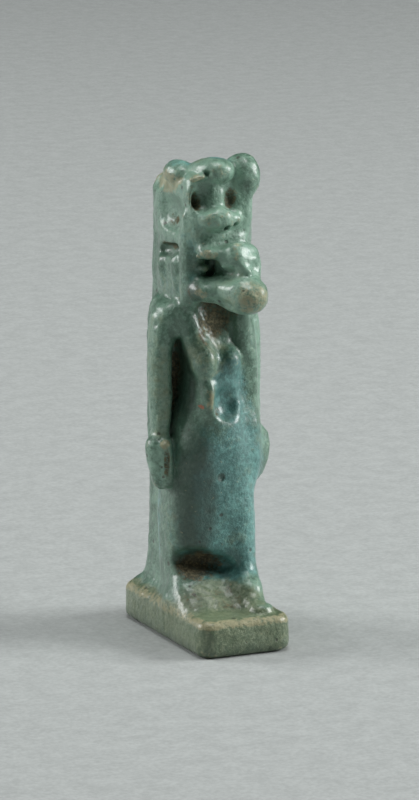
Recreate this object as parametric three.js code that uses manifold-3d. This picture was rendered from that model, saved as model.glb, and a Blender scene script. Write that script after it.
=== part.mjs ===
// A small moulded amulet of glazed ceramic: a slim standing figure with an animal's head and a tall
// crown, against a back pillar, on a deep plinth. Plinth, figure and pillar are one fired piece.
// Millimetres. +Z is up, the figure faces -Y, and its own right side is at -X.
// The origin is the middle of the plinth's underside.

import * as THREE from 'three';
import { mergeVertices } from 'three/addons/utils/BufferGeometryUtils.js';
import Module from 'manifold-3d';

const wasm = await Module();
wasm.setup();

// Driving dimensions
const PLINTH_WIDTH = 7.2;
const PLINTH_DEPTH = 14.6;
const PLINTH_HEIGHT = 2.7;
const PLINTH_CORNER = 1.0;
const PLINTH_EDGE = 0.32;
const PILLAR_TOP = 33.0;
const PILLAR_MIDDLE_Y = 3.6;
const ARM_OFFSET = 3.5;
const CROWN_HALF_WIDTH = 2.45;
const CROWN_TOP = 34.1;
const GLAZE_COLOUR = 0x5f8f86;

// The soft outer skin of the figure is read around an upright line inside it
const CORE_Y = 0.6;
const CORE_TOP = 31.4;
const SKIN_SEGMENTS = 44;
const FRONT_CROWDING = 0.3;
const CAP_ROWS = 8;
// Heights between which the skin has a number of even rows
const SKIN_BANDS = [
  [2.2, 6.6, 11],
  [6.6, 16.0, 8],
  [16.0, 24.4, 15],
  [24.4, CORE_TOP, 14],
];
const OUTSIDE = 9.0;
const FEELER_STEP = 0.12;

// The same value on both sides of the middle plane: the figure's right, then its left
const SIDES = [-1, 1];

// Deterministic waviness of a hand-pressed surface, in millimetres
function waviness(x, y, z) {
  const broad = Math.sin(1.3 * x + 0.5 * z + 0.5) * Math.sin(1.1 * y - 0.6 * z);
  const fine = Math.sin(2.7 * x - 2.1 * y + 1.1 * z) * Math.cos(1.9 * z + 1.7 * y - 1.5 * x);
  return 0.03 * broad + 0.015 * fine;
}

// The lower of two values, rounded where they are closer than the softness
function softLower(a, b, softness) {
  const share = THREE.MathUtils.clamp(0.5 + (0.5 * (b - a)) / softness, 0, 1);
  return THREE.MathUtils.lerp(b, a, share) - softness * share * (1 - share);
}

function softHigher(a, b, softness) {
  return -softLower(-a, -b, softness);
}

// Length of a point's offsets when each is raised to a power: 2 is round, more is boxier
function pressedLength(offsets, power) {
  const sum = offsets.reduce((total, offset) => total + Math.abs(offset) ** power, 0);
  return sum ** (1 / power);
}

// Distance to the surface of a pressed form, from its offsets in units of its radii
function pressedDistance(offsets, radii, power) {
  const length = pressedLength(offsets, power);
  const slope = offsets.map((offset, i) => Math.abs(offset) ** (power - 1) / radii[i]);
  const steepness = (length + 1e-6) ** (1 - power) * Math.hypot(...slope);
  return (length - 1) / Math.max(steepness, 1 / Math.max(...radii));
}

// A closed three.js geometry as a solid that can be joined and cut
function solidOf(geometry) {
  const bare = new THREE.BufferGeometry();
  bare.setAttribute('position', geometry.getAttribute('position').clone());
  if (geometry.index) {
    bare.setIndex(geometry.index.clone());
  }
  const welded = mergeVertices(bare, 1e-4);
  const order = welded.index.array;
  const triangles = [];
  for (let i = 0; i < order.length; i += 3) {
    const [a, b, c] = [order[i], order[i + 1], order[i + 2]];
    if (a !== b && b !== c && c !== a) {
      triangles.push(a, b, c);
    }
  }
  const mesh = new wasm.Mesh({
    numProp: 3,
    vertProperties: Float32Array.from(welded.getAttribute('position').array),
    triVerts: Uint32Array.from(triangles),
  });
  return new wasm.Manifold(mesh);
}

// Moves every corner of a geometry by a function that is given the point and the corner's number
function reshape(geometry, change) {
  const places = geometry.getAttribute('position');
  const point = new THREE.Vector3();
  for (let i = 0; i < places.count; i += 1) {
    point.fromBufferAttribute(places, i);
    change(point, i);
    places.setXYZ(i, point.x, point.y, point.z);
  }
  return geometry;
}

// A rounded lump: an ellipsoid, or boxier with a higher power. Turns are degrees about X, Y and Z.
class Lump {
  constructor({ centre, radii, power = 2, turn = [0, 0, 0], softness = 0.3, divisions = 4 }) {
    Object.assign(this, { centre, radii, power, softness, divisions });
    const angles = turn.map((degrees) => THREE.MathUtils.degToRad(degrees));
    this.turn = new THREE.Matrix4().makeRotationFromEuler(new THREE.Euler(...angles, 'ZYX'));
    this.unturn = this.turn.clone().invert();
    const reach = turn.some((degrees) => degrees !== 0) ? Array(3).fill(Math.max(...radii)) : radii;
    this.low = centre.map((value, i) => value - reach[i]);
    this.high = centre.map((value, i) => value + reach[i]);
  }

  distance(x, y, z) {
    const [a, b, c] = this.centre;
    const local = new THREE.Vector3(x - a, y - b, z - c).applyMatrix4(this.unturn).toArray();
    const offsets = local.map((value, i) => value / this.radii[i]);
    return pressedDistance(offsets, this.radii, this.power);
  }

  solid() {
    const n = this.divisions;
    const geometry = new THREE.BoxGeometry(2, 2, 2, n, n, n);
    reshape(geometry, (point) => {
      point.divideScalar(pressedLength(point.toArray(), this.power));
      point.multiply(new THREE.Vector3(...this.radii));
    });
    geometry.applyMatrix4(this.turn);
    geometry.translate(...this.centre);
    return solidOf(geometry);
  }
}

// A bar with round ends between two points, with its own radius at each end
class Bar {
  constructor({ from, to, radii, softness = 0.3 }) {
    Object.assign(this, { from, to, radii, softness });
    const reach = Math.max(...radii);
    this.low = from.map((value, i) => Math.min(value, to[i]) - reach);
    this.high = from.map((value, i) => Math.max(value, to[i]) + reach);
    this.start = new THREE.Vector3(...from);
    this.along = new THREE.Vector3(...to).sub(this.start);
  }

  distance(x, y, z) {
    const offset = new THREE.Vector3(x, y, z).sub(this.start);
    const share = THREE.MathUtils.clamp(offset.dot(this.along) / this.along.lengthSq(), 0, 1);
    const radius = THREE.MathUtils.lerp(this.radii[0], this.radii[1], share);
    return offset.addScaledVector(this.along, -share).length() - radius;
  }

  solid() {
    const length = this.along.length();
    const geometry = new THREE.CapsuleGeometry(1, length, 3, 10, 3);
    reshape(geometry, (point) => {
      const share = THREE.MathUtils.clamp(point.y / length + 0.5, 0, 1);
      const middle = (share - 0.5) * length;
      const radius = THREE.MathUtils.lerp(this.radii[0], this.radii[1], share);
      point.set(point.x * radius, middle + (point.y - middle) * radius, point.z * radius);
    });
    const upright = new THREE.Vector3(0, 1, 0);
    const direction = this.along.clone().normalize();
    geometry.applyQuaternion(new THREE.Quaternion().setFromUnitVectors(upright, direction));
    const middle = this.start.clone().addScaledVector(this.along, 0.5);
    geometry.translate(middle.x, middle.y, middle.z);
    return solidOf(geometry);
  }
}

// An upright form whose oblong section changes smoothly with the height.
// Stations are [height, middle x, middle y, half width, half depth, power].
class Stack {
  constructor({ stations, softness = 0.3, cap = 0.3, segments = 16, rows = 10 }) {
    Object.assign(this, { softness, cap, segments, rows });
    const heights = stations.map((station) => station[0]);
    const values = stations.flatMap((station) => station.slice(1));
    this.curve = new THREE.CubicInterpolant(heights, values, 5);
    this.bottom = heights[0];
    this.top = heights[heights.length - 1];
    const lowest = (middle, half) => Math.min(...stations.map((station) => station[middle] - station[half]));
    const highest = (middle, half) => Math.max(...stations.map((station) => station[middle] + station[half]));
    this.low = [lowest(1, 3), lowest(2, 4), this.bottom];
    this.high = [highest(1, 3), highest(2, 4), this.top];
  }

  section(height) {
    if (height !== this.lastHeight) {
      const inside = THREE.MathUtils.clamp(height, this.bottom, this.top);
      this.lastSection = Array.from(this.curve.evaluate(inside));
      this.lastHeight = height;
    }
    return this.lastSection;
  }

  distance(x, y, z) {
    const [middleX, middleY, halfWidth, halfDepth, power] = this.section(z);
    const offsets = [(x - middleX) / halfWidth, (y - middleY) / halfDepth];
    const around = pressedDistance(offsets, [halfWidth, halfDepth], power);
    return softHigher(around, Math.max(this.bottom - z, z - this.top), this.cap);
  }

  solid() {
    const profile = [new THREE.Vector2(0, this.bottom)];
    for (let row = 0; row <= this.rows; row += 1) {
      profile.push(new THREE.Vector2(1, THREE.MathUtils.lerp(this.bottom, this.top, row / this.rows)));
    }
    profile.push(new THREE.Vector2(0, this.top));
    const geometry = new THREE.LatheGeometry(profile, this.segments).rotateX(Math.PI / 2);
    reshape(geometry, (point) => {
      const [middleX, middleY, halfWidth, halfDepth, power] = this.section(point.z);
      const length = pressedLength([point.x, point.y], power);
      const scale = length > 0.5 ? 1 / length : 1;
      point.x = middleX + point.x * scale * halfWidth;
      point.y = middleY + point.y * scale * halfDepth;
    });
    return solidOf(geometry);
  }
}

// A flat break across the crown's rear right corner, as a form that is cut away
class Break {
  constructor() {
    this.softness = 0.06;
    this.low = [-5.3, -0.9, 31.5];
    this.high = [-0.5, 6.0, 36.0];
    this.facing = new THREE.Vector3(-0.78, 0.12, 0.62).normalize();
    this.through = new THREE.Vector3(-2.0, 1.5, 33.05);
  }

  distance(x, y, z) {
    const offset = new THREE.Vector3(x, y, z).sub(this.through);
    const ripple = 0.06 * Math.sin(3 * x + 2 * y) * Math.cos(2.5 * y - 3 * z);
    return softHigher(-offset.dot(this.facing) - ripple, -0.9 - y, 0.3);
  }
}

// Several forms as one solid
function joined(forms) {
  return forms.slice(1).reduce((whole, form) => whole.add(form.solid()), forms[0].solid());
}

const added = (form) => ({ form, cut: false });
const removed = (form) => ({ form, cut: true });

// Distance from a point to the blended forms, in the order in which they were added or cut
function blendedDistance(steps, x, y, z) {
  const place = [x, y, z];
  let distance = OUTSIDE;
  for (const { form, cut } of steps) {
    const margin = 1.2 * form.softness + 0.3;
    const near = place.every((value, i) => value > form.low[i] - margin && value < form.high[i] + margin);
    if (near && cut) {
      distance = softHigher(distance, -form.distance(x, y, z), form.softness);
    } else if (near) {
      distance = softLower(distance, form.distance(x, y, z), form.softness);
    }
  }
  return distance + waviness(x, y, z);
}

// How far the surface is from a point inside, in a direction, felt for from the outside
function feel(steps, start, direction) {
  const at = (reach) => {
    const place = start.clone().addScaledVector(direction, reach);
    return blendedDistance(steps, place.x, place.y, place.z);
  };
  let outside = OUTSIDE;
  while (outside > FEELER_STEP && at(outside - FEELER_STEP) > 0) {
    outside -= FEELER_STEP;
  }
  let inside = outside - FEELER_STEP;
  for (let halving = 0; halving < 10; halving += 1) {
    const middle = (inside + outside) / 2;
    if (at(middle) > 0) {
      outside = middle;
    } else {
      inside = middle;
    }
  }
  return start.clone().addScaledVector(direction, (inside + outside) / 2);
}

// The figure's soft skin: a lathe form round the core line, pressed out to the blended forms.
// Above the core line's top it closes as a dome does.
function makeSkin(steps) {
  const profile = [new THREE.Vector2(0, SKIN_BANDS[0][0])];
  for (const [from, to, rows] of SKIN_BANDS) {
    for (let row = 0; row < rows; row += 1) {
      profile.push(new THREE.Vector2(1, THREE.MathUtils.lerp(from, to, row / rows)));
    }
  }
  for (let row = 0; row <= CAP_ROWS; row += 1) {
    const rise = ((row / CAP_ROWS) * Math.PI) / 2;
    profile.push(new THREE.Vector2(Math.cos(rise), CORE_TOP + Math.sin(rise)));
  }
  profile[profile.length - 1].x = 0;
  const geometry = new THREE.LatheGeometry(profile, SKIN_SEGMENTS).rotateX(Math.PI / 2);
  reshape(geometry, (point, corner) => {
    const { x: radius, y: height } = profile[corner % profile.length];
    const segment = Math.floor(corner / profile.length) % SKIN_SEGMENTS;
    const even = (segment / SKIN_SEGMENTS) * Math.PI * 2;
    const angle = even - FRONT_CROWDING * Math.sin(even);
    const start = new THREE.Vector3(0, CORE_Y, Math.min(height, CORE_TOP));
    const rise = Math.max(height - CORE_TOP, 0);
    if (radius === 0 && rise === 0) {
      point.copy(start);
      return;
    }
    const direction = new THREE.Vector3(radius * Math.sin(angle), -radius * Math.cos(angle), rise);
    point.copy(feel(steps, start, direction.normalize()));
  });
  return solidOf(geometry);
}

// Plinth: a long slab with rounded corners and worn, rounded edges
function makePlinth() {
  const x = PLINTH_WIDTH / 2 - PLINTH_EDGE;
  const y = PLINTH_DEPTH / 2 - PLINTH_EDGE;
  const r = PLINTH_CORNER - PLINTH_EDGE;
  const plan = new THREE.Shape();
  plan.absarc(x - r, y - r, r, 0, Math.PI / 2);
  plan.absarc(r - x, y - r, r, Math.PI / 2, Math.PI);
  plan.absarc(r - x, r - y, r, Math.PI, Math.PI * 1.5);
  plan.absarc(x - r, r - y, r, Math.PI * 1.5, Math.PI * 2);
  const geometry = new THREE.ExtrudeGeometry(plan, {
    depth: PLINTH_HEIGHT - 2 * PLINTH_EDGE,
    bevelThickness: PLINTH_EDGE,
    bevelSize: PLINTH_EDGE,
    bevelSegments: 3,
    curveSegments: 5,
  });
  geometry.translate(0, 0, PLINTH_EDGE);
  return solidOf(geometry);
}

// Back pillar: a tall slab that flares where it meets the plinth
function pillarSteps() {
  const y = PILLAR_MIDDLE_Y;
  const stations = [
    [0.5, 0, y + 0.3, 3.3, 3.3, 7],
    [2.4, 0, y + 0.3, 3.2, 3.25, 7],
    [3.0, 0, y + 0.3, 2.85, 2.9, 7],
    [3.8, 0, y + 0.25, 2.45, 2.35, 7],
    [5.4, 0, y + 0.2, 2.3, 2.1, 7],
    [12.0, 0, y, 2.2, 2.05, 7],
    [24.0, 0, y - 0.3, 2.2, 1.85, 7],
    [PILLAR_TOP, 0, y - 0.5, 2.15, 1.7, 7],
  ];
  return [added(new Stack({ stations }))];
}

// Trunk and long skirt, with the forward left leg under the cloth and the web behind the arms
function bodySteps() {
  const trunk = [
    [0.5, 0, 0.4, 3.4, 3.6, 3],
    [2.5, 0, 0.4, 3.35, 3.3, 3],
    [3.1, 0, 0.5, 3.15, 2.7, 3],
    [4.0, 0, 0.45, 3.02, 2.5, 3],
    [6.2, 0, 0.3, 3.15, 2.6, 3],
    [9.0, 0, 0.15, 3.3, 2.8, 3],
    [12.5, 0, 0, 3.2, 2.95, 2.7],
    [15.0, 0, -0.1, 2.85, 3.05, 2.4],
    [16.5, 0, -0.1, 2.45, 3.05, 2.3],
    [18.2, 0, -0.1, 2.1, 2.85, 2.2],
    [20.5, 0, 0.1, 2.0, 2.5, 2.3],
    [22.2, 0, 0.5, 2.1, 2.1, 2.6],
    [23.4, 0, 0.65, 2.6, 1.95, 2.8],
    [24.6, 0, 0.75, 2.5, 1.8, 2.8],
    [27.0, 0, 0.7, 2.2, 1.9, 2.8],
  ];
  const leg = [
    [2.0, 1.8, -2.0, 1.35, 2.2, 2.3],
    [3.0, 1.85, -1.9, 1.2, 1.95, 2.3],
    [4.2, 1.9, -1.6, 1.1, 1.6, 2.3],
    [6.5, 1.95, -1.2, 1.15, 1.55, 2.3],
    [10.5, 1.8, -0.9, 1.0, 1.35, 2.3],
  ];
  return [
    added(new Stack({ stations: trunk, softness: 0.25 })),
    added(new Lump({ centre: [0, 2.0, 18.8], radii: [3.5, 1.15, 6.3], power: 6, softness: 0.4 })),
    added(new Stack({ stations: leg, softness: 0.6, cap: 0.5 })),
    ...SIDES.map((side) => added(new Lump({
      centre: [side * 2.8, 0.5, 23.7],
      radii: [0.95, 1.25, 0.9],
      softness: 0.6,
    }))),
    // hip that reaches out to the fists
    ...SIDES.map((side) => added(new Lump({
      centre: [side * 2.7, -0.3, 13.8],
      radii: [0.8, 1.4, 3.0],
      softness: 0.6,
    }))),
    // groove between skirt and pillar
    ...SIDES.map((side) => removed(new Bar({
      from: [side * 3.05, 2.9, 4.6],
      to: [side * 3.15, 2.9, 12.0],
      radii: [0.28, 0.25],
      softness: 0.2,
    }))),
  ];
}

// Hollow under the hem between the legs, open to the front and higher at the figure's right
function hemSteps() {
  return [removed(new Lump({
    centre: [-1.9, -2.75, 5.1],
    radii: [2.7, 1.8, 0.95],
    power: 2.2,
    turn: [0, 15, -8],
    softness: 0.35,
  }))];
}

// Breasts with the wig's ends lying on them, and the ridge beside the navel
function torsoSteps() {
  return [
    added(new Bar({ from: [-1.75, -1.6, 24.8], to: [-1.45, -2.2, 20.8], radii: [0.65, 0.95], softness: 0.4 })),
    added(new Lump({ centre: [-1.15, -2.6, 20.3], radii: [0.85, 1.1, 1.1], softness: 0.35 })),
    added(new Lump({ centre: [1.0, -2.1, 20.3], radii: [0.75, 1.0, 1.0], softness: 0.5 })),
    added(new Lump({ centre: [-0.85, -2.85, 18.0], radii: [0.45, 0.75, 1.3] })),
  ];
}

// Navel: a deep oval hollow in the belly
function makeNavel() {
  const shape = { centre: [0.15, -3.5, 17.65], radii: [0.98, 1.3, 1.42], power: 2.2, divisions: 5 };
  return new Lump(shape).solid();
}

// Wig: a block behind the face, a lappet down each side in front, and two locks at each side
function wigSteps() {
  const block = [
    [24.6, 0, 1.15, 2.4, 2.5, 4],
    [25.6, 0, 1.1, 2.55, 2.7, 4],
    [27.2, 0, 1.05, 2.6, 2.8, 4],
    [28.7, 0, 1.0, 2.55, 2.85, 4],
    [29.7, 0, 0.95, 2.6, 2.95, 4],
    [31.2, 0, 0.85, 2.45, 3.2, 4],
  ];
  return [
    added(new Stack({ stations: block })),
    added(new Bar({ from: [-1.85, -1.6, 31.0], to: [-1.8, -1.65, 25.2], radii: [0.9, 0.85], softness: 0.4 })),
    added(new Bar({ from: [1.85, -1.6, 31.0], to: [1.9, -1.5, 25.2], radii: [0.9, 0.85], softness: 0.4 })),
    added(new Bar({ from: [1.9, -1.5, 25.2], to: [2.35, -1.35, 21.0], radii: [0.75, 0.6], softness: 0.4 })),
    ...SIDES.flatMap((side) => [-0.5, 1.35].map((y) => added(new Bar({
      from: [side * 2.1, y, 27.6],
      to: [side * 1.97, y, 25.6],
      radii: [0.8, 0.7],
      softness: 0.25,
    })))),
    // hollow between the lappets, under the muzzle
    removed(new Bar({ from: [0.15, -2.7, 25.2], to: [0.15, -3.0, 23.0], radii: [1.15, 0.9], softness: 0.5 })),
  ];
}

// Crown: an upright block with three knobs on top and two hollows down its front
function crownSteps() {
  const width = CROWN_HALF_WIDTH;
  const block = [
    [29.2, 0, 0.6, width - 0.1, 3.5, 8],
    [31.2, 0, 0.65, width, 3.8, 8],
    [32.6, 0, 0.8, width, 3.7, 8],
    [33.5, 0, 0.95, width - 0.1, 3.5, 8],
    [CROWN_TOP, 0, 0.95, width - 0.35, 3.2, 8],
  ];
  return [
    added(new Stack({ stations: block, cap: 0.5 })),
    removed(new Lump({ centre: [0, -3.75, 32.35], radii: [1.85, 0.9, 1.5], power: 3 })),
    added(new Lump({ centre: [-1.75, 1.3, 33.85], radii: [0.75, 1.8, 0.8], softness: 0.2 })),
    added(new Lump({ centre: [0.05, -0.7, 34.0], radii: [1.5, 2.3, 1.0], power: 2.2, softness: 0.25 })),
    added(new Lump({
      centre: [2.15, -1.5, 33.7],
      radii: [1.05, 1.5, 1.5],
      power: 2.6,
      turn: [0, 5, 0],
      softness: 0.4,
    })),
    // forehead over the face
    added(new Lump({ centre: [-0.6, -2.95, 30.55], radii: [1.1, 0.95, 0.75], power: 2.2 })),
    added(new Lump({ centre: [0.65, -2.9, 30.6], radii: [1.0, 0.95, 0.78], power: 2.2 })),
    added(new Lump({ centre: [0, -2.2, 29.3], radii: [1.9, 1.2, 0.9], power: 3 })),
    ...SIDES.map((side) => added(new Lump({
      centre: [side * 1.2, -2.95, 29.15],
      radii: [0.65, 0.55, 0.6],
      softness: 0.2,
    }))),
    removed(new Lump({ centre: [-1.35, -3.1, 32.2], radii: [0.75, 1.5, 1.5], softness: 0.5 })),
    removed(new Lump({ centre: [1.3, -3.0, 32.1], radii: [0.6, 1.3, 1.4], softness: 0.45 })),
  ];
}

// Hollows in both sides of the head: a wide one in the crown and a narrow one below it
function sideSteps() {
  return SIDES.flatMap((side) => [
    removed(new Lump({ centre: [side * 2.9, 0.95, 31.0], radii: [0.85, 1.7, 1.15], softness: 0.5 })),
    removed(new Bar({
      from: [side * 2.55, 1.7, 28.7],
      to: [side * 2.35, -0.2, 28.75],
      radii: [0.4, 0.45],
      softness: 0.12,
    })),
  ]);
}

// Arm: hangs straight down beside the body, free of it at the waist
function makeArm(side) {
  const stations = [
    [12.6, side * 3.68, 0.1, 0.7, 0.9, 2.2],
    [15.3, side * 3.58, 0.15, 0.62, 0.8, 2.2],
    [16.2, side * 3.52, 0.2, 0.7, 0.9, 2.2],
    [18.2, side * ARM_OFFSET, 0.3, 0.8, 1.0, 2.2],
    [21.0, side * ARM_OFFSET, 0.3, 0.82, 1.05, 2.2],
    [22.6, side * 3.32, 0.3, 0.9, 1.15, 2.2],
    [23.6, side * 3.05, 0.35, 0.9, 1.15, 2.2],
    [24.35, side * 2.75, 0.4, 0.5, 0.7, 2.2],
  ];
  return new Stack({ stations }).solid();
}

// Hands: the right one stands proud of the hip, the left one is pressed flush to it
function makeHands() {
  const right = new Bar({ from: [-3.75, -0.1, 14.2], to: [-3.35, -0.3, 12.2], radii: [1.0, 0.8] });
  const thumb = new Bar({ from: [-3.6, -0.95, 14.35], to: [-3.2, -1.0, 12.1], radii: [0.5, 0.42] });
  const left = new Lump({ centre: [3.85, 0, 13.1], radii: [1.0, 1.1, 2.0], power: 2.2, turn: [0, 8, 0] });
  return joined([right, thumb, left]);
}

// Feet: a flat sole with a rounded instep; the left foot is a step ahead
function makeFeet() {
  const soles = [
    new Lump({ centre: [-2.5, -2.35, 2.75], radii: [0.9, 2.8, 0.6], power: 2.6 }),
    new Lump({ centre: [1.65, -3.0, 2.7], radii: [0.95, 3.4, 0.6], power: 2.6 }),
  ];
  const insteps = [
    new Bar({ from: [-2.45, -4.0, 2.75], to: [-2.5, -0.9, 3.8], radii: [0.6, 0.8] }),
    new Bar({ from: [1.7, -5.3, 2.8], to: [1.9, -1.9, 4.3], radii: [0.7, 1.05] }),
  ];
  return joined([...soles, ...insteps]);
}

// Clay and soil that fill the step between the feet as one slope
function makeFill() {
  const slope = { centre: [-0.3, -2.2, 2.9], radii: [2.1, 3.5, 0.75], power: 2.4, turn: [17, 0, 0] };
  return new Lump(slope).solid();
}

// Animal face: an overhanging brow with thick lids, a bridge below it and a long muzzle that juts out
function makeFace() {
  const forms = [
    new Lump({ centre: [0, -3.2, 28.65], radii: [1.6, 2.4, 0.65], power: 2.4, turn: [5, 0, 0] }),
    new Lump({ centre: [0.35, -4.9, 28.7], radii: [1.25, 1.5, 0.95], power: 2.6 }),
    new Lump({ centre: [0.35, -4.2, 27.3], radii: [1.05, 2.5, 1.5], power: 2.6 }),
    new Lump({ centre: [0, -3.0, 26.1], radii: [1.8, 2.1, 1.15], power: 2.4 }),
    ...SIDES.flatMap((side) => [
      new Bar({ from: [side * 1.75, -1.9, 28.4], to: [side * 0.8 + 0.1, -4.6, 28.4], radii: [0.5, 0.6] }),
      new Bar({ from: [side, -2.6, 26.2], to: [side * 0.35 + 0.4, -5.8, 25.75], radii: [1.0, 1.35] }),
    ]),
  ];
  return joined(forms);
}

// Eye socket: a long hollow under the brow, beside the bridge
function makeSocket(side) {
  const shape = { centre: [side * 2.05, -3.7, 27.5], radii: [1.3, 1.8, 0.6], turn: [0, 0, side * -10] };
  return new Lump(shape).solid();
}

// Everything that stands above the plinth, then the plinth itself
function makeAmulet() {
  const steps = [
    ...pillarSteps(),
    ...bodySteps(),
    ...hemSteps(),
    ...torsoSteps(),
    ...wigSteps(),
    ...crownSteps(),
    ...sideSteps(),
    removed(new Break()),
  ];
  let solid = makeSkin(steps).add(makeFace());
  for (const side of SIDES) {
    solid = solid.subtract(makeSocket(side)).add(makeArm(side));
  }
  solid = solid.subtract(makeNavel());
  return solid.add(makeHands()).add(makeFeet()).add(makeFill()).add(makePlinth());
}

// The finished solid as a plain three.js geometry
function geometryOf(solid) {
  const { numProp, vertProperties, triVerts } = solid.getMesh();
  const geometry = new THREE.BufferGeometry();
  const places = new Float32Array((vertProperties.length / numProp) * 3);
  for (let i = 0; i < places.length / 3; i += 1) {
    places.set(vertProperties.subarray(i * numProp, i * numProp + 3), i * 3);
  }
  geometry.setAttribute('position', new THREE.BufferAttribute(places, 3));
  geometry.setIndex(new THREE.BufferAttribute(Uint32Array.from(triVerts), 1));
  geometry.computeVertexNormals();
  return geometry;
}

const glaze = new THREE.MeshStandardMaterial({ color: GLAZE_COLOUR, roughness: 0.35, metalness: 0 });
const amulet = new THREE.Mesh(geometryOf(makeAmulet()), glaze);
amulet.name = 'hathor_amulet';

const part = new THREE.Group();
part.name = 'part';
part.add(amulet);

export default part;
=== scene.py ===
"""Looks of a small moulded amulet of glazed ceramic: a standing figure with an animal's head.

The figure, its back pillar and its plinth are one fired piece. The forms below are given in
millimetres in the part's own frame: +Z up, the figure faces -Y, its right side is at -X, and the
origin is the middle of the plinth's underside.
"""

import logging
import math
from dataclasses import dataclass, replace
from enum import Enum
from typing import Any, Iterable, Protocol, Sequence

import bpy
import numpy as np
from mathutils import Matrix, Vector


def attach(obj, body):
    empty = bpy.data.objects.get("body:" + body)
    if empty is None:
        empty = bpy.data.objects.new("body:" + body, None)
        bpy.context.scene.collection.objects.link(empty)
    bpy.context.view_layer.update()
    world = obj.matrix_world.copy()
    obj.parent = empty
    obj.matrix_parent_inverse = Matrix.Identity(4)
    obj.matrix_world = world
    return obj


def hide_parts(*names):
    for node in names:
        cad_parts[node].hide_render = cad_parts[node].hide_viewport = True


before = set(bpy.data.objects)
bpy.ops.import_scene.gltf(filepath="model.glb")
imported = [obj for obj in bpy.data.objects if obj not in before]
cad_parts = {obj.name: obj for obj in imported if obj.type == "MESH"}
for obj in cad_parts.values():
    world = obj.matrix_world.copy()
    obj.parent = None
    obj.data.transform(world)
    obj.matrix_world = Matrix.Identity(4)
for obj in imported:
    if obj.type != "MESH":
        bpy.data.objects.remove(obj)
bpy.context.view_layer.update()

LOG = logging.getLogger("amulet")

MM = 0.001
RIGHT, LEFT = -1.0, 1.0
SIDES = (RIGHT, LEFT)
FAR_OUTSIDE = 9.0
JUST_INSIDE = -0.01
TINY = 1e-12
SHORT = 1e-6

Triple = tuple[float, float, float]
Colour = tuple[float, float, float]
Places = tuple[np.ndarray, np.ndarray, np.ndarray]
Corners = tuple[np.ndarray, np.ndarray]
Stations = tuple[tuple[float, ...], ...]

# Pits left by burst bubbles in the front of the skirt, and one low on its left side.
FRONT_PITS: tuple[Triple, ...] = ((-1.09, -3.0, 9.71), (-0.12, -3.15, 12.14), (-2.68, -2.5, 13.98))
LOW_PIT: Triple = (2.7, -1.8, 5.85)


def soft_lower(a: np.ndarray, b: np.ndarray, softness: float) -> np.ndarray:
    """Give the lower of two distances, rounded where they are closer than the softness.

    Args:
        a: First distances, in millimetres.
        b: Second distances, in millimetres.
        softness: Width of the rounding, in millimetres.

    Returns:
        The joined distances.
    """
    share = np.clip(0.5 + 0.5 * (b - a) / softness, 0.0, 1.0)
    return b * (1.0 - share) + a * share - softness * share * (1.0 - share)


def soft_higher(a: np.ndarray, b: np.ndarray, softness: float) -> np.ndarray:
    """Give the higher of two distances, rounded as soft_lower does."""
    return -soft_lower(-a, -b, softness)


def smooth_step(value: np.ndarray, start: float, end: float) -> np.ndarray:
    """Rise smoothly from 0 at start to 1 at end; the end may be lower than the start."""
    share = np.clip((value - start) / (end - start), 0.0, 1.0)
    return share * share * (3.0 - 2.0 * share)


def follow(places: Sequence[float], values: Sequence[float], at: np.ndarray) -> np.ndarray:
    """Read a smooth curve through stations, without overshoot.

    Args:
        places: Rising places of the stations.
        values: Value at each station.
        at: Places to read.

    Returns:
        The curve's values at those places.
    """
    xs, ys = np.array(places, float), np.array(values, float)
    rise = np.diff(ys) / np.diff(xs)
    slope = np.zeros_like(ys)
    same_way = rise[:-1] * rise[1:] > 0
    slope[1:-1] = np.where(same_way, 2 * rise[:-1] * rise[1:] / (rise[:-1] + rise[1:] + TINY), 0.0)
    slope[0], slope[-1] = rise[0], rise[-1]
    i = np.clip(np.searchsorted(xs, at) - 1, 0, len(xs) - 2)
    span = xs[i + 1] - xs[i]
    t = np.clip((at - xs[i]) / span, 0.0, 1.0)
    start = (2 * t**3 - 3 * t**2 + 1) * ys[i] + (t**3 - 2 * t**2 + t) * span * slope[i]
    end = (3 * t**2 - 2 * t**3) * ys[i + 1] + (t**3 - t**2) * span * slope[i + 1]
    return start + end


def pressed_distance(offsets: Sequence[np.ndarray], radii: Sequence[Any], power: Any) -> np.ndarray:
    """Measure how far points are from the surface of a pressed form.

    Args:
        offsets: Offsets from the middle along each axis, in units of the radii.
        radii: Radius along each axis, in millimetres.
        power: 2 is round, more is boxier.

    Returns:
        Approximate distances in millimetres, negative inside.
    """
    sizes = [np.abs(offset) for offset in offsets]
    length = sum(size**power for size in sizes) ** (1.0 / power)
    slopes = [size ** (power - 1.0) / radius for size, radius in zip(sizes, radii)]
    steepness = (length + SHORT) ** (1.0 - power) * np.sqrt(sum(slope**2 for slope in slopes))
    flattest = 1.0 / np.maximum.reduce([np.asarray(radius) for radius in radii])
    return (length - 1.0) / np.maximum(steepness, flattest)


class Form(Protocol):
    """A form that can be joined to clay or hollowed out of it."""

    def reach(self) -> Corners:
        """Give the lowest and highest corners that the form can touch."""

    def distance(self, places: Places) -> np.ndarray:
        """Give how far places are from the surface, in millimetres, negative inside."""


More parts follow.
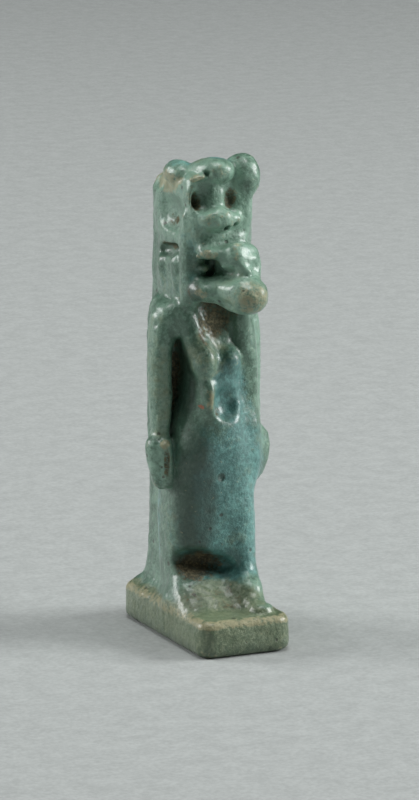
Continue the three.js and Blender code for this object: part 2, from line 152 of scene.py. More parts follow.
@dataclass(frozen=True)
class Lump:
    """A rounded lump: an ellipsoid, or boxier with a higher power. Turns are degrees about X, Y, Z."""

    centre: Triple
    radii: Triple
    power: float = 2.0
    turn: Triple = (0.0, 0.0, 0.0)

    def reach(self) -> Corners:
        """Give the lowest and highest corners that the lump can touch."""
        radii = np.full(3, max(self.radii)) if any(self.turn) else np.array(self.radii)
        return np.array(self.centre) - radii, np.array(self.centre) + radii

    def turning(self) -> np.ndarray:
        """Work out the turn, about X first, then Y, then Z.

        Returns:
            The turn as a matrix.
        """
        x, y, z = (math.radians(angle) for angle in self.turn)
        about_x = [[1, 0, 0], [0, math.cos(x), -math.sin(x)], [0, math.sin(x), math.cos(x)]]
        about_y = [[math.cos(y), 0, math.sin(y)], [0, 1, 0], [-math.sin(y), 0, math.cos(y)]]
        about_z = [[math.cos(z), -math.sin(z), 0], [math.sin(z), math.cos(z), 0], [0, 0, 1]]
        return (np.array(about_z) @ np.array(about_y) @ np.array(about_x)).astype(np.float32)

    def distance(self, places: Places) -> np.ndarray:
        """Measure how far places are from the lump.

        Args:
            places: X, Y and Z of the places, in millimetres.

        Returns:
            Distances in millimetres, negative inside.
        """
        step = tuple(place - middle for place, middle in zip(places, self.centre))
        if any(self.turn):
            m = self.turning()
            step = tuple(m[0, i] * step[0] + m[1, i] * step[1] + m[2, i] * step[2] for i in range(3))
        return pressed_distance([s / r for s, r in zip(step, self.radii)], self.radii, self.power)


@dataclass(frozen=True)
class Bar:
    """A bar with round ends between two points, with its own radius at each end."""

    start: Triple
    end: Triple
    radii: tuple[float, float]

    def reach(self) -> Corners:
        """Give the lowest and highest corners that the bar can touch."""
        ends, radius = np.array([self.start, self.end]), max(self.radii)
        return ends.min(0) - radius, ends.max(0) + radius

    def distance(self, places: Places) -> np.ndarray:
        """Measure how far places are from the bar.

        Args:
            places: X, Y and Z of the places, in millimetres.

        Returns:
            Distances in millimetres, negative inside.
        """
        along = np.array(self.end) - np.array(self.start)
        step = [place - start for place, start in zip(places, self.start)]
        share = np.clip(sum(s * a for s, a in zip(step, along)) / float(along @ along), 0.0, 1.0)
        gap = np.sqrt(sum((s - a * share) ** 2 for s, a in zip(step, along)))
        return gap - (self.radii[0] + (self.radii[1] - self.radii[0]) * share)


@dataclass(frozen=True)
class Stack:
    """An upright form whose oblong section changes smoothly with the height.

    Stations are (height, middle x, middle y, half width, half depth, power).
    """

    stations: Stations
    cap: float = 0.3

    def reach(self) -> Corners:
        """Work out how far the form can reach.

        Returns:
            The lowest and highest corners that it can touch.
        """
        height, mid_x, mid_y, wide, deep, _ = np.array(self.stations).T
        low = ((mid_x - wide).min(), (mid_y - deep).min(), height[0])
        high = ((mid_x + wide).max(), (mid_y + deep).max(), height[-1])
        return np.array(low), np.array(high)

    def distance(self, places: Places) -> np.ndarray:
        """Measure how far places are from the form.

        Args:
            places: X, Y and Z of the places, in millimetres.

        Returns:
            Distances in millimetres, negative inside.
        """
        x, y, z = places
        heights, *columns = np.array(self.stations).T
        section = [follow(heights, column, z.ravel()).reshape(z.shape) for column in columns]
        mid_x, mid_y, wide, deep, power = (part.astype(np.float32) for part in section)
        around = pressed_distance([(x - mid_x) / wide, (y - mid_y) / deep], [wide, deep], power)
        return soft_higher(around, np.maximum(heights[0] - z, z - heights[-1]), self.cap)


@dataclass(frozen=True)
class Fracture:
    """A rough flat break across the crown's rear right corner, between a low and a high place."""

    through: Triple = (-2.42, 1.0, 32.65)
    facing: Triple = (-0.83, 0.12, 0.54)
    low: Triple = (-5.3, -0.9, 31.5)
    high: Triple = (-0.5, 6.0, 36.0)
    ripple_height: float = 0.07
    front_edge: float = 0.3

    def reach(self) -> Corners:
        """Give the lowest and highest corners that the break can touch."""
        return np.array(self.low), np.array(self.high)

    def distance(self, places: Places) -> np.ndarray:
        """Measure how far places are from the broken face.

        Args:
            places: X, Y and Z of the places, in millimetres.

        Returns:
            Distances in millimetres, negative where the piece is gone.
        """
        x, y, z = places
        facing = np.array(self.facing) / np.linalg.norm(self.facing)
        height = sum((place - point) * f for place, point, f in zip(places, self.through, facing))
        ripple = self.ripple_height * np.sin(3 * x + 2 * y) * np.cos(2.5 * y - 3 * z)
        return soft_higher(-height - ripple, self.low[1] - y, self.front_edge)


@dataclass(frozen=True)
class Mirrored:
    """A form turned over to the other side of an upright plane along Y."""

    form: Form
    plane_x: float = 0.0

    def reach(self) -> Corners:
        """Work out how far the form reaches once it is turned over.

        Returns:
            The lowest and highest corners that it can touch.
        """
        low, high = self.form.reach()
        turned_low = np.array([2 * self.plane_x - high[0], low[1], low[2]])
        turned_high = np.array([2 * self.plane_x - low[0], high[1], high[2]])
        return turned_low, turned_high

    def distance(self, places: Places) -> np.ndarray:
        """Give how far places are from the turned form, in millimetres, negative inside."""
        x, y, z = places
        return self.form.distance((2 * self.plane_x - x, y, z))


@dataclass(frozen=True)
class Step:
    """One step of the modelling: a named form, and how softly it meets the clay."""

    name: str
    form: Form
    softness: float = 0.3
    hollow: bool = False


def join(name: str, form: Form, softness: float = 0.3) -> Step:
    """Make a step that joins a form to the clay."""
    return Step(name, form, softness)


def hollow(name: str, form: Form, softness: float = 0.3) -> Step:
    """Make a step that hollows a form out of the clay."""
    return Step(name, form, softness, hollow=True)


def both_sides(*steps: Step) -> list[Step]:
    """Repeat steps that are stated for the left side.

    Args:
        steps: Steps on the left side.

    Returns:
        All of them on the right, and then on the left.
    """
    right = [replace(step, name="right " + step.name, form=Mirrored(step.form)) for step in steps]
    left = [replace(step, name="left " + step.name) for step in steps]
    return right + left


class Clay:
    """A block of space in which forms are joined and hollowed with soft edges, then skinned."""

    margin: float = 0.3
    margin_share: float = 1.2

    def __init__(self, low: Triple, high: Triple, cell: float) -> None:
        """Lay out the empty space.

        Args:
            low: Lowest corner, in millimetres.
            high: Highest corner, in millimetres.
            cell: Spacing of the samples, in millimetres.
        """
        self.low, self.cell = np.array(low), cell
        counts = np.ceil((np.array(high) - self.low) / cell).astype(int) + 1
        self.axes = [(self.low[i] + cell * np.arange(counts[i])).astype(np.float32) for i in range(3)]
        self.distances = np.full(counts, FAR_OUTSIDE, np.float32)

    def places(self, window: tuple[slice, ...] = (slice(None),) * 3) -> Places:
        """Give the sample places in a window, shaped so that they spread over the block."""
        x, y, z = (axis[part] for axis, part in zip(self.axes, window))
        return x[:, None, None], y[None, :, None], z[None, None, :]

    def window(self, step: Step) -> tuple[slice, ...]:
        """Find the samples that a step can change.

        Args:
            step: The step.

        Returns:
            A slice of the samples along each axis.
        """
        low, high = step.form.reach()
        margin = self.margin_share * step.softness + self.margin
        first = [max(0, int(np.searchsorted(a, v - margin)) - 1) for a, v in zip(self.axes, low)]
        last = [int(np.searchsorted(a, v + margin)) + 1 for a, v in zip(self.axes, high)]
        return tuple(slice(i, j) for i, j in zip(first, last))

    def take(self, steps: Iterable[Step]) -> None:
        """Join or hollow the form of each step.

        Args:
            steps: The steps, in order.
        """
        for step in steps:
            window = self.window(step)
            before = self.distances[window]
            form = step.form.distance(self.places(window))
            if step.hollow:
                self.distances[window] = soft_higher(before, -form, step.softness)
            else:
                self.distances[window] = soft_lower(before, form, step.softness)
            LOG.debug("took the step %s", step.name)

    def fill_pinches(self) -> None:
        """Fill samples where two sheets of skin would touch, so that each edge has two faces."""
        pinches = self._pinches()
        while pinches:
            for outside in pinches:
                nearest = min(outside, key=lambda corner: self.distances[corner])
                self.distances[nearest] = JUST_INSIDE
            pinches = self._pinches()

    def _pinches(self) -> list[list[tuple[int, ...]]]:
        """Find the squares of four samples of which only two opposite corners are inside.

        Returns:
            The two outside corners of each square.
        """
        inside = self.distances < 0
        found = []
        for axes in ((0, 1), (0, 2), (1, 2)):
            u, v = (np.eye(3, dtype=int)[axis] for axis in axes)
            steps = (0 * u, v, u, u + v)
            size = np.array(inside.shape) - steps[-1]
            a, b, c, d = (inside[tuple(slice(s, s + n) for s, n in zip(step, size))] for step in steps)
            for place in np.argwhere((a == d) & (b == c) & (a != b)):
                square = [tuple(place + step) for step in steps]
                found.append([corner for corner in square if not inside[corner]])
        return found

    def skin(self) -> tuple[np.ndarray, np.ndarray]:
        """Lay one smooth closed skin of four-sided faces over the clay.

        Returns:
            Corner places in millimetres, and the corners of each face, facing outwards.
        """
        self.fill_pinches()
        inside = self.distances < 0
        shape = np.array(inside.shape) - 1
        filled = np.zeros(shape, np.int8)
        corners = [(i, j, k) for i in (0, 1) for j in (0, 1) for k in (0, 1)]
        for i, j, k in corners:
            filled += inside[i : shape[0] + i, j : shape[1] + j, k : shape[2] + k]
        cells = np.argwhere((filled > 0) & (filled < len(corners)))
        number = np.full(shape, -1, np.int64)
        number[tuple(cells.T)] = np.arange(len(cells))
        places = (self._crossings(cells, corners) + cells) * self.cell + self.low
        return places, np.concatenate([self._faces(inside, number, axis) for axis in range(3)])

    def _crossings(self, cells: np.ndarray, corners: list[tuple[int, ...]]) -> np.ndarray:
        """Find where the skin passes through cells of eight samples.

        Args:
            cells: The lowest sample of each cell.
            corners: Steps from that sample to all eight.

        Returns:
            The middle of the places where the cell's edges are crossed, as a share of the cell.
        """
        total, count = np.zeros((len(cells), 3)), np.zeros(len(cells))
        pairs = [(a, b) for a in corners for b in corners if a < b]
        for a, b in pairs:
            if sum(abs(p - q) for p, q in zip(a, b)) != 1:
                continue
            at_a = self.distances[tuple((cells + a).T)]
            at_b = self.distances[tuple((cells + b).T)]
            crossed = (at_a < 0) != (at_b < 0)
            share = np.where(crossed, at_a / (at_a - at_b + TINY), 0.0)
            for axis in range(3):
                total[:, axis] += np.where(crossed, a[axis] + share * (b[axis] - a[axis]), 0.0)
            count += crossed
        return total / count[:, None]

    @staticmethod
    def _faces(inside: np.ndarray, number: np.ndarray, axis: int) -> np.ndarray:
        """Make the faces that cross the sample lines along one axis.

        Args:
            inside: Whether each sample is inside the clay.
            number: Number of the corner in each cell, or -1.
            axis: 0, 1 or 2.

        Returns:
            Four corner numbers for each face.
        """
        across = [(1, 2), (2, 0), (0, 1)][axis]
        here = [slice(1, -1)] * 3
        here[axis] = slice(0, inside.shape[axis] - 1)
        there = list(here)
        there[axis] = slice(1, inside.shape[axis])
        before = inside[tuple(here)]
        lines = np.argwhere(before != inside[tuple(there)])
        offset = np.ones(3, int)
        offset[axis] = 0
        rings = []
        for back_u, back_v in ((1, 1), (0, 1), (0, 0), (1, 0)):
            cell = lines + offset
            cell[:, across[0]] -= back_u
            cell[:, across[1]] -= back_v
            rings.append(number[tuple(cell.T)])
        faces = np.stack(rings, 1)
        outward = before[tuple(lines.T)]
        faces[~outward] = faces[~outward][:, ::-1]
        return faces

    def crowding(self, places: np.ndarray, radius: float) -> np.ndarray:
        """Measure how much clay stands around places: half on a flat, more in a hollow.

        Args:
            places: Places in millimetres.
            radius: How far around each place to look, in millimetres.

        Returns:
            Shares between 0 and 1.
        """
        share = np.clip(0.5 - self.distances / self.cell * 0.5, 0.0, 1.0)
        reach = max(1, round(radius / self.cell / 2))
        for axis in (0, 1, 2, 0, 1, 2):
            padding = [(0, 0)] * 3
            padding[axis] = (reach + 1, reach)
            summed = np.cumsum(np.pad(share, padding, mode="edge"), axis=axis, dtype=np.float32)
            size = share.shape[axis]
            upper = np.take(summed, np.arange(size) + 2 * reach + 1, axis=axis)
            lower = np.take(summed, np.arange(size), axis=axis)
            share = (upper - lower) / (2 * reach + 1)
        return self.read(share, places)

    def read(self, samples: np.ndarray, places: np.ndarray) -> np.ndarray:
        """Read a block of samples at places between them.

        Args:
            samples: One number for each sample place.
            places: Places in millimetres.

        Returns:
            One number for each place.
        """
        grid = (places - self.low) / self.cell
        base = np.clip(np.floor(grid).astype(int), 0, np.array(samples.shape) - 2)
        part = grid - base
        result = np.zeros(len(places))
        for corner in np.ndindex(2, 2, 2):
            shares = np.where(corner, part, 1.0 - part)
            result += shares.prod(axis=1) * samples[tuple((base + corner).T)]
        return result


@dataclass
class Pillar:
    """The back pillar: a tall slab that flares where it meets the plinth."""

    half_width: float = 2.2
    middle_y: float = 3.6
    top: float = 33.0

    def steps(self) -> list[Step]:
        """Give the pillar's only step.

        Returns:
            The step, in a list.
        """
        y, wide = self.middle_y, self.half_width
        stations = (
            (0.5, 0, y + 0.3, wide + 1.1, 3.3, 7),
            (2.4, 0, y + 0.3, wide + 1.0, 3.25, 7),
            (2.9, 0, y + 0.3, wide + 0.75, 3.0, 7),
            (3.6, 0, y + 0.25, wide + 0.3, 2.4, 7),
            (5.2, 0, y + 0.2, wide + 0.1, 2.1, 7),
            (12.0, 0, y, wide, 2.05, 7),
            (24.0, 0, y - 0.3, wide, 1.85, 7),
            (self.top, 0, y - 0.5, wide - 0.05, 1.7, 7),
        )
        return [join("pillar", Stack(stations))]


@dataclass
class Trunk:
    """Trunk and long skirt, the leg that pushes the cloth forward, and the web behind the arms."""

    skirt: Stations = (
        (0.5, 0, 0.4, 3.4, 3.6, 3),
        (2.5, 0, 0.4, 3.35, 3.3, 3),
        (3.1, 0, 0.5, 3.15, 2.7, 3),
        (4.0, 0, 0.45, 3.02, 2.5, 3),
        (6.2, 0, 0.3, 3.15, 2.6, 3),
        (9.0, 0, 0.15, 3.3, 2.8, 3),
        (12.5, 0, 0, 3.15, 2.95, 2.6),
        (14.6, 0, -0.1, 2.8, 3.05, 2.3),
        (16.5, 0.05, -0.1, 2.4, 3.0, 2.2),
        (18.2, 0, -0.1, 2.1, 2.8, 2.2),
        (20.5, 0, 0.1, 2.0, 2.5, 2.3),
        (22.2, 0, 0.5, 2.1, 2.1, 2.6),
        (23.4, 0, 0.65, 2.6, 1.95, 2.8),
        (24.6, 0, 0.75, 2.5, 1.8, 2.8),
        (27.0, 0, 0.7, 2.2, 1.9, 2.8),
    )
    leg: Stations = (
        (2.0, 1.8, -2.0, 1.35, 2.2, 2.3),
        (3.0, 1.85, -1.9, 1.2, 1.95, 2.3),
        (4.2, 1.9, -1.6, 1.1, 1.6, 2.3),
        (6.5, 1.95, -1.2, 1.15, 1.55, 2.3),
        (10.5, 1.8, -0.9, 1.0, 1.35, 2.3),
    )
    pits: tuple[Triple, ...] = (*FRONT_PITS, LOW_PIT)
    pit_radii: Triple = (0.3, 0.4, 0.28)

    def steps(self) -> list[Step]:
        """List the steps that make the trunk.

        Returns:
            The steps, in order.
        """
        return [
            join("trunk and skirt", Stack(self.skirt), 0.25),
            join("web before the pillar", Lump((0, 2.0, 18.8), (3.5, 1.15, 6.3), 6), 0.4),
            join("web beside the left arm", Lump((2.65, -0.3, 18.2), (1.0, 1.5, 5.6), 2.6), 0.9),
            join("left leg under the cloth", Stack(self.leg, 0.5), 0.6),
            *(hollow("burst pit", Lump(pit, self.pit_radii), 0.15) for pit in self.pits),
        ]

    def grooves(self) -> list[Step]:
        """List the shallow grooves between the skirt and the pillar.

        Returns:
            A step for each side.
        """
        groove = Bar((3.05, 2.9, 4.6), (3.15, 2.9, 12.0), (0.28, 0.25))
        return both_sides(hollow("groove beside the pillar", groove, 0.2))


@dataclass
class Arms:
    """Two arms that hang straight down, and the hands at the hips."""

    arm: Stations = (
        (12.6, 3.68, 0.1, 0.7, 0.9, 2.2),
        (15.3, 3.58, 0.15, 0.62, 0.8, 2.2),
        (16.2, 3.52, 0.2, 0.7, 0.9, 2.2),
        (18.2, 3.5, 0.3, 0.8, 1.0, 2.2),
        (21.0, 3.48, 0.3, 0.82, 1.05, 2.2),
        (22.6, 3.32, 0.3, 0.9, 1.15, 2.2),
        (23.6, 3.05, 0.35, 0.95, 1.15, 2.2),
        (24.3, 2.75, 0.4, 0.75, 0.95, 2.2),
    )

    def steps(self) -> list[Step]:
        """List the steps that make the arms; the right hand stands proud and the left lies flush.

        Returns:
            The steps, in order.
        """
        return [
            *both_sides(
                join("arm", Stack(self.arm, 0.8)),
                join("shoulder", Lump((2.8, 0.5, 23.7), (0.95, 1.25, 0.9)), 0.6),
            ),
            join("right fist", Bar((-3.75, -0.1, 14.2), (-3.6, -0.3, 11.9), (1.0, 0.78)), 0.25),
            join("right fingers", Bar((-3.65, -0.95, 14.35), (-3.45, -1.0, 11.7), (0.5, 0.42)), 0.2),
            hollow("slit of the hand", Bar((-3.85, -1.5, 13.9), (-3.75, -1.45, 12.5), (0.16, 0.12)), 0.25),
            join("left fist", Lump((3.85, 0.0, 13.1), (1.0, 1.1, 2.0), 2.2, (0, 8, 0))),
            join("left hip", Lump((2.8, -0.4, 13.8), (1.0, 1.65, 3.2), 2.2), 0.9),
        ]


@dataclass
class Feet:
    """The hem's hollow, the two feet on the plinth and the packed soil between them."""

    right_x: float = -2.7
    left_x: float = 1.75

    def steps(self) -> list[Step]:
        """List the steps that hollow the hem and make the feet and the soil.

        Returns:
            The steps, in order.
        """
        right, left = self.right_x, self.left_x
        return [
            hollow("hem's hollow", Lump((-1.35, -2.65, 5.55), (3.1, 1.9, 1.1), 2.2, (0, 16, -6)), 0.45),
            join("right foot", Bar((right, -0.9, 2.85), (right + 0.2, -4.2, 2.05), (0.95, 0.75)), 1.1),
            join("left foot", Bar((left + 0.1, -2.3, 4.3), (left, -5.2, 2.6), (1.0, 0.75)), 0.7),
            join("left instep", Lump((left + 0.05, -3.3, 4.0), (0.95, 1.1, 0.75)), 0.5),
            join("left toes", Lump((left, -5.75, 2.95), (0.85, 0.8, 0.45)), 0.4),
            join("packed soil", Lump((-0.6, -2.4, 3.3), (2.6, 3.1, 1.0), 2, (34, 0, 0)), 1.0),
        ]


@dataclass
class Bust:
    """Breasts with the wig's end lying on the right one, and the belly with its deep navel."""

    navel: Triple = (0.46, -3.5, 17.6)

    def steps(self) -> list[Step]:
        """List the steps that make the bust.

        Returns:
            The steps, in order.
        """
        return [
            join("right end of the wig", Bar((-2.2, -0.9, 24.4), (-1.45, -1.5, 21.6), (0.6, 0.75)), 1.2),
            join("right breast", Lump((-1.15, -2.15, 20.6), (0.85, 1.05, 1.3), 2, (-8, 8, 0)), 0.7),
            join("left breast", Lump((0.9, -2.1, 20.4), (0.75, 0.85, 0.95)), 0.7),
            join("ridge beside the navel", Lump((-1.0, -2.45, 18.0), (0.6, 0.85, 1.3)), 0.5),
            hollow("navel", Lump(self.navel, (1.2, 1.45, 1.42), 2.2), 0.45),
        ]


@dataclass
class Wig:
    """A block behind the face, a lappet down each side in front, and two locks at each side."""

    half_width: float = 2.6

    def steps(self) -> list[Step]:
        """List the steps that make the wig and hollow the throat between its lappets.

        Returns:
            The steps, in order.
        """
        wide = self.half_width
        block = (
            (24.6, 0, 1.15, wide - 0.2, 2.5, 4),
            (25.6, 0, 1.1, wide - 0.05, 2.7, 4),
            (27.2, 0, 1.05, wide, 2.8, 4),
            (28.7, 0, 1.0, wide - 0.05, 2.85, 4),
            (29.7, 0, 0.95, wide, 2.95, 4),
            (31.2, 0, 0.85, wide - 0.15, 3.2, 4),
        )
        return [
            join("block of the wig", Stack(block)),
            join("right lappet", Bar((-1.85, -1.6, 31.0), (-1.8, -1.65, 25.2), (0.9, 0.85)), 0.4),
            join("left lappet", Bar((1.85, -1.6, 31.0), (1.9, -1.5, 25.2), (0.9, 0.85)), 0.4),
            join("left end of the wig", Bar((1.9, -1.5, 25.2), (2.35, -1.35, 21.0), (0.75, 0.6)), 0.4),
            *both_sides(
                join("front lock", Bar((2.05, -0.6, 27.5), (1.75, -0.5, 25.2), (0.95, 0.85)), 0.2),
                join("rear lock", Bar((2.1, 2.0, 27.2), (1.85, 2.0, 25.4), (0.8, 0.7)), 0.2),
            ),
            hollow("throat", Bar((0.1, -2.95, 25.0), (0.1, -3.05, 22.7), (1.6, 0.85)), 1.2),
        ]


@dataclass
class Crown:
    """The upright crown with three worn knobs, and the forehead that swells below it."""

    half_width: float = 2.45
    top: float = 34.1
    slot_tilt: float = 7.0

    def steps(self) -> list[Step]:
        """List the steps that make the crown and forehead, with the hollows down the front.

        Returns:
            The steps, in order.
        """
        return [
            *self.block_steps(),
            *self.knob_steps(),
            *self.forehead_steps(),
            hollow("right hollow", Lump((-1.55, -3.3, 32.75), (0.65, 1.0, 1.15), 2.6), 0.35),
            hollow("pit in the right hollow", Lump((-1.95, -2.75, 32.3), (0.28, 1.1, 0.7)), 0.25),
            hollow("left hollow", Lump((0.55, -3.2, 32.4), (0.5, 0.75, 0.9)), 0.45),
            hollow("notch in the front lip", Lump((-1.1, -3.0, 34.2), (0.24, 0.8, 0.26)), 0.1),
            hollow("groove below the notch", Bar((-1.0, -3.4, 34.0), (-0.9, -3.4, 33.5), (0.14, 0.25)), 0.2),
        ]

    def block_steps(self) -> list[Step]:
        """List the steps that make the crown's block, with its break and slopes.

        Returns:
            The steps, in order.
        """
        wide = self.half_width
        block = (
            (29.2, 0, 0.6, wide - 0.1, 3.5, 8),
            (31.2, 0, 0.65, wide, 3.8, 8),
            (32.6, 0, 0.8, wide, 3.7, 8),
            (33.5, 0, 0.95, wide - 0.1, 3.5, 8),
            (self.top, 0, 0.95, wide - 0.35, 3.2, 8),
        )
        return [
            join("block of the crown", Stack(block, 0.5)),
            hollow("broken corner", Fracture(), 0.06),
            hollow("recess down the front", Lump((0.1, -3.95, 32.3), (1.9, 0.95, 1.6), 3.5), 0.3),
            hollow("slope to the rear", Lump((0, 3.4, 35.3), (4.0, 3.0, 1.4), 7, (-24, 0, 0)), 0.2),
        ]

    def knob_steps(self) -> list[Step]:
        """List the steps that make the worn knobs on the crown's top.

        Returns:
            The steps, in order.
        """
        return [
            join("right rear knob", Lump((-1.6, 1.05, 33.7), (1.1, 1.6, 0.95)), 0.25),
            join("middle knob", Lump((-0.15, -1.0, 34.0), (1.45, 2.25, 1.05), 2.3, (-10, 0, 4)), 0.12),
            join("front lip", Lump((-1.75, -2.5, 33.9), (0.7, 0.45, 0.3), 2.2, (0, -12, 0)), 0.15),
            join("left knob", Lump((2.0, -1.6, 33.7), (1.15, 1.6, 1.6), 2.2, (-20, 5, 12)), 0.2),
            join("left stem", Bar((2.05, -2.5, 33.2), (1.95, -2.5, 31.9), (0.6, 0.4)), 0.3),
        ]

    def forehead_steps(self) -> list[Step]:
        """List the two swellings of the forehead, its two deep pits and the band below them.

        Returns:
            The steps, in order.
        """
        return [
            join("right swelling", Lump((-0.62, -2.95, 30.95), (1.4, 1.25, 0.92), 2.2, (-14, 4, 0)), 0.25),
            join("left swelling", Lump((0.75, -2.9, 30.95), (0.55, 0.9, 0.48), 2.2), 0.3),
            hollow("middle pit", Bar((-0.1, -4.4, 30.45), (-0.15, -3.2, 30.45), (0.2, 0.2)), 0.08),
            hollow("left pit", Bar((0.68, -4.2, 30.6), (0.65, -3.0, 30.6), (0.17, 0.17)), 0.08),
            join("band", Lump((0, -2.25, 29.35), (2.0, 1.15, 0.75), 3), 0.3),
            join("knob at the band's right", Lump((-1.2, -2.9, 29.1), (0.55, 0.5, 0.55)), 0.3),
        ]

    def side_steps(self) -> list[Step]:
        """List the hollows in both sides of the head: wide in the crown, narrow and deep below it.

        Returns:
            The steps, in order.
        """
        slots = [
            Lump((side * 2.65, 0.85, 28.3), (0.75, 1.75, 0.5), 2.4, (side * self.slot_tilt, 0, 0))
            for side in SIDES
        ]
        return [
            *both_sides(hollow("wide hollow", Lump((2.75, 0.45, 31.05), (0.85, 2.1, 1.3), 2.4), 0.45)),
            *(hollow("narrow slot", slot, 0.15) for slot in slots),
            *both_sides(
                hollow("slot's front end", Lump((2.3, -0.2, 28.5), (0.75, 0.8, 0.42), 2.2), 0.12),
                hollow("groove below it", Bar((2.75, 3.0, 26.3), (2.85, 2.1, 25.0), (0.2, 0.25)), 0.2),
            ),
        ]


@dataclass
class Face:
    """The animal's face: an overhanging brow, a bridge below it and a long muzzle."""

    brow_height: float = 28.6
    muzzle_height: float = 25.9
    muzzle_x: float = 0.6

    def steps(self) -> list[Step]:
        """List the steps that make the face and hollow its eye sockets.

        Returns:
            The steps, in order.
        """
        muzzle = Lump((self.muzzle_x, -4.6, self.muzzle_height), (1.55, 2.5, 1.45), 2.3, (5, 0, 6))
        jaw = Lump((1.05, -2.95, self.muzzle_height), (1.35, 1.3, 0.85), 2, (0, 0, 18))
        mouth = Bar((self.muzzle_x + 1.9, -4.0, 25.2), (self.muzzle_x + 1.1, -5.4, 25.1), (0.2, 0.15))
        return [
            join("bridge of the face", Lump((0.85, -3.55, 27.4), (1.45, 1.85, 1.4), 2.8), 0.3),
            join("muzzle", muzzle, 0.35),
            hollow("right eye socket", Lump((-1.8, -4.3, 27.4), (2.0, 1.8, 0.82), 2.2, (0, 0, 4)), 0.5),
            hollow("left eye socket", Lump((1.8, -5.7, 27.85), (0.75, 0.8, 0.5), 2.2), 0.4),
            hollow("inner corner of the eye", Lump((-0.75, -3.0, 27.3), (0.55, 0.7, 0.4)), 0.35),
            join("right eye", Lump((-1.4, -2.5, 27.45), (0.42, 0.5, 0.3)), 0.2),
            *self.brow_steps(),
            join("right jaw", Mirrored(jaw), 0.7),
            hollow("right side of the mouth", Mirrored(mouth, self.muzzle_x), 0.45),
            join("left jaw", jaw, 0.7),
            hollow("left side of the mouth", mouth, 0.45),
        ]

    def brow_steps(self) -> list[Step]:
        """List the steps that make the overhanging brow, which narrows to the bridge of the nose.

        Returns:
            The steps, in order.
        """
        z = self.brow_height
        return [
            *both_sides(
                join("brow", Lump((0.8, -3.1, z + 0.15), (1.25, 1.2, 0.45), 2.4, (8, 0, 0)), 0.35),
                join("brow's rim", Bar((1.95, -3.0, z - 0.2), (0.2, -4.0, z - 0.15), (0.2, 0.28)), 0.12),
            ),
            join("saddle", Lump((0.75, -4.05, z - 0.3), (1.4, 1.05, 0.85), 3.4, (-30, 12, 20)), 0.3),
            join("bridge of the nose", Bar((0.2, -5.0, z - 0.4), (0.75, -5.4, z - 1.15), (0.3, 0.32)), 0.2),
        ]


@dataclass
class Plinth:
    """A long slab with rounded corners and worn, rounded edges."""

    width: float = 7.2
    depth: float = 14.6
    height: float = 2.7
    corner: float = 1.2
    edge: float = 0.6
    softness: float = 0.4

    def model(self, clay: Clay) -> None:
        """Join the plinth to the clay and leave its underside flat.

        Args:
            clay: The clay, with the figure in it.
        """
        x, y, z = clay.places()
        out_x = np.abs(x) - (self.width / 2 - self.corner)
        out_y = np.abs(y) - (self.depth / 2 - self.corner)
        around = np.hypot(np.maximum(out_x, 0), np.maximum(out_y, 0)) - self.corner
        around = around + np.minimum(np.maximum(out_x, out_y), 0) + self.edge
        above = np.abs(z - self.height / 2) - (self.height / 2 - self.edge)
        rounded = np.hypot(np.maximum(around, 0), np.maximum(above, 0)) - self.edge
        slab = rounded + np.minimum(np.maximum(around, above), 0)
        clay.distances = soft_lower(clay.distances, slab.astype(np.float32), self.softness)
        clay.distances = np.maximum(clay.distances, -z)


@dataclass(frozen=True)
class Patch:
    """A soft-edged patch of the surface, as strong as its weight at the middle."""

    centre: Triple
    radii: Triple
    weight: float = 1.0
    outer: float = 1.25
    inner: float = 0.55

    def share(self, places: np.ndarray) -> np.ndarray:
        """Give how strongly the patch covers each place, from 0 to its weight."""
        length = np.sqrt((((places - self.centre) / self.radii) ** 2).sum(1))
        return self.weight * smooth_step(length, self.outer, self.inner)


def cover(patches: Iterable[Patch], places: np.ndarray) -> np.ndarray:
    """Give the strongest cover of several patches at each place, from 0 to 1."""
    return np.max([patch.share(places) for patch in patches], axis=0)


class Coat(Enum):
    """What the surface carries, and the painted shade and painted light laid on it, each kept as one number
    for every corner of the mesh.
    """

    SOIL = "soil"
    WEAR = "wear"
    BLUE = "blue"
    OLIVE = "olive"
    # Pale tone, partly the glaze's own and partly painted light.
    PALE = "pale"
    SHADE = "shade"
    RED = "red"


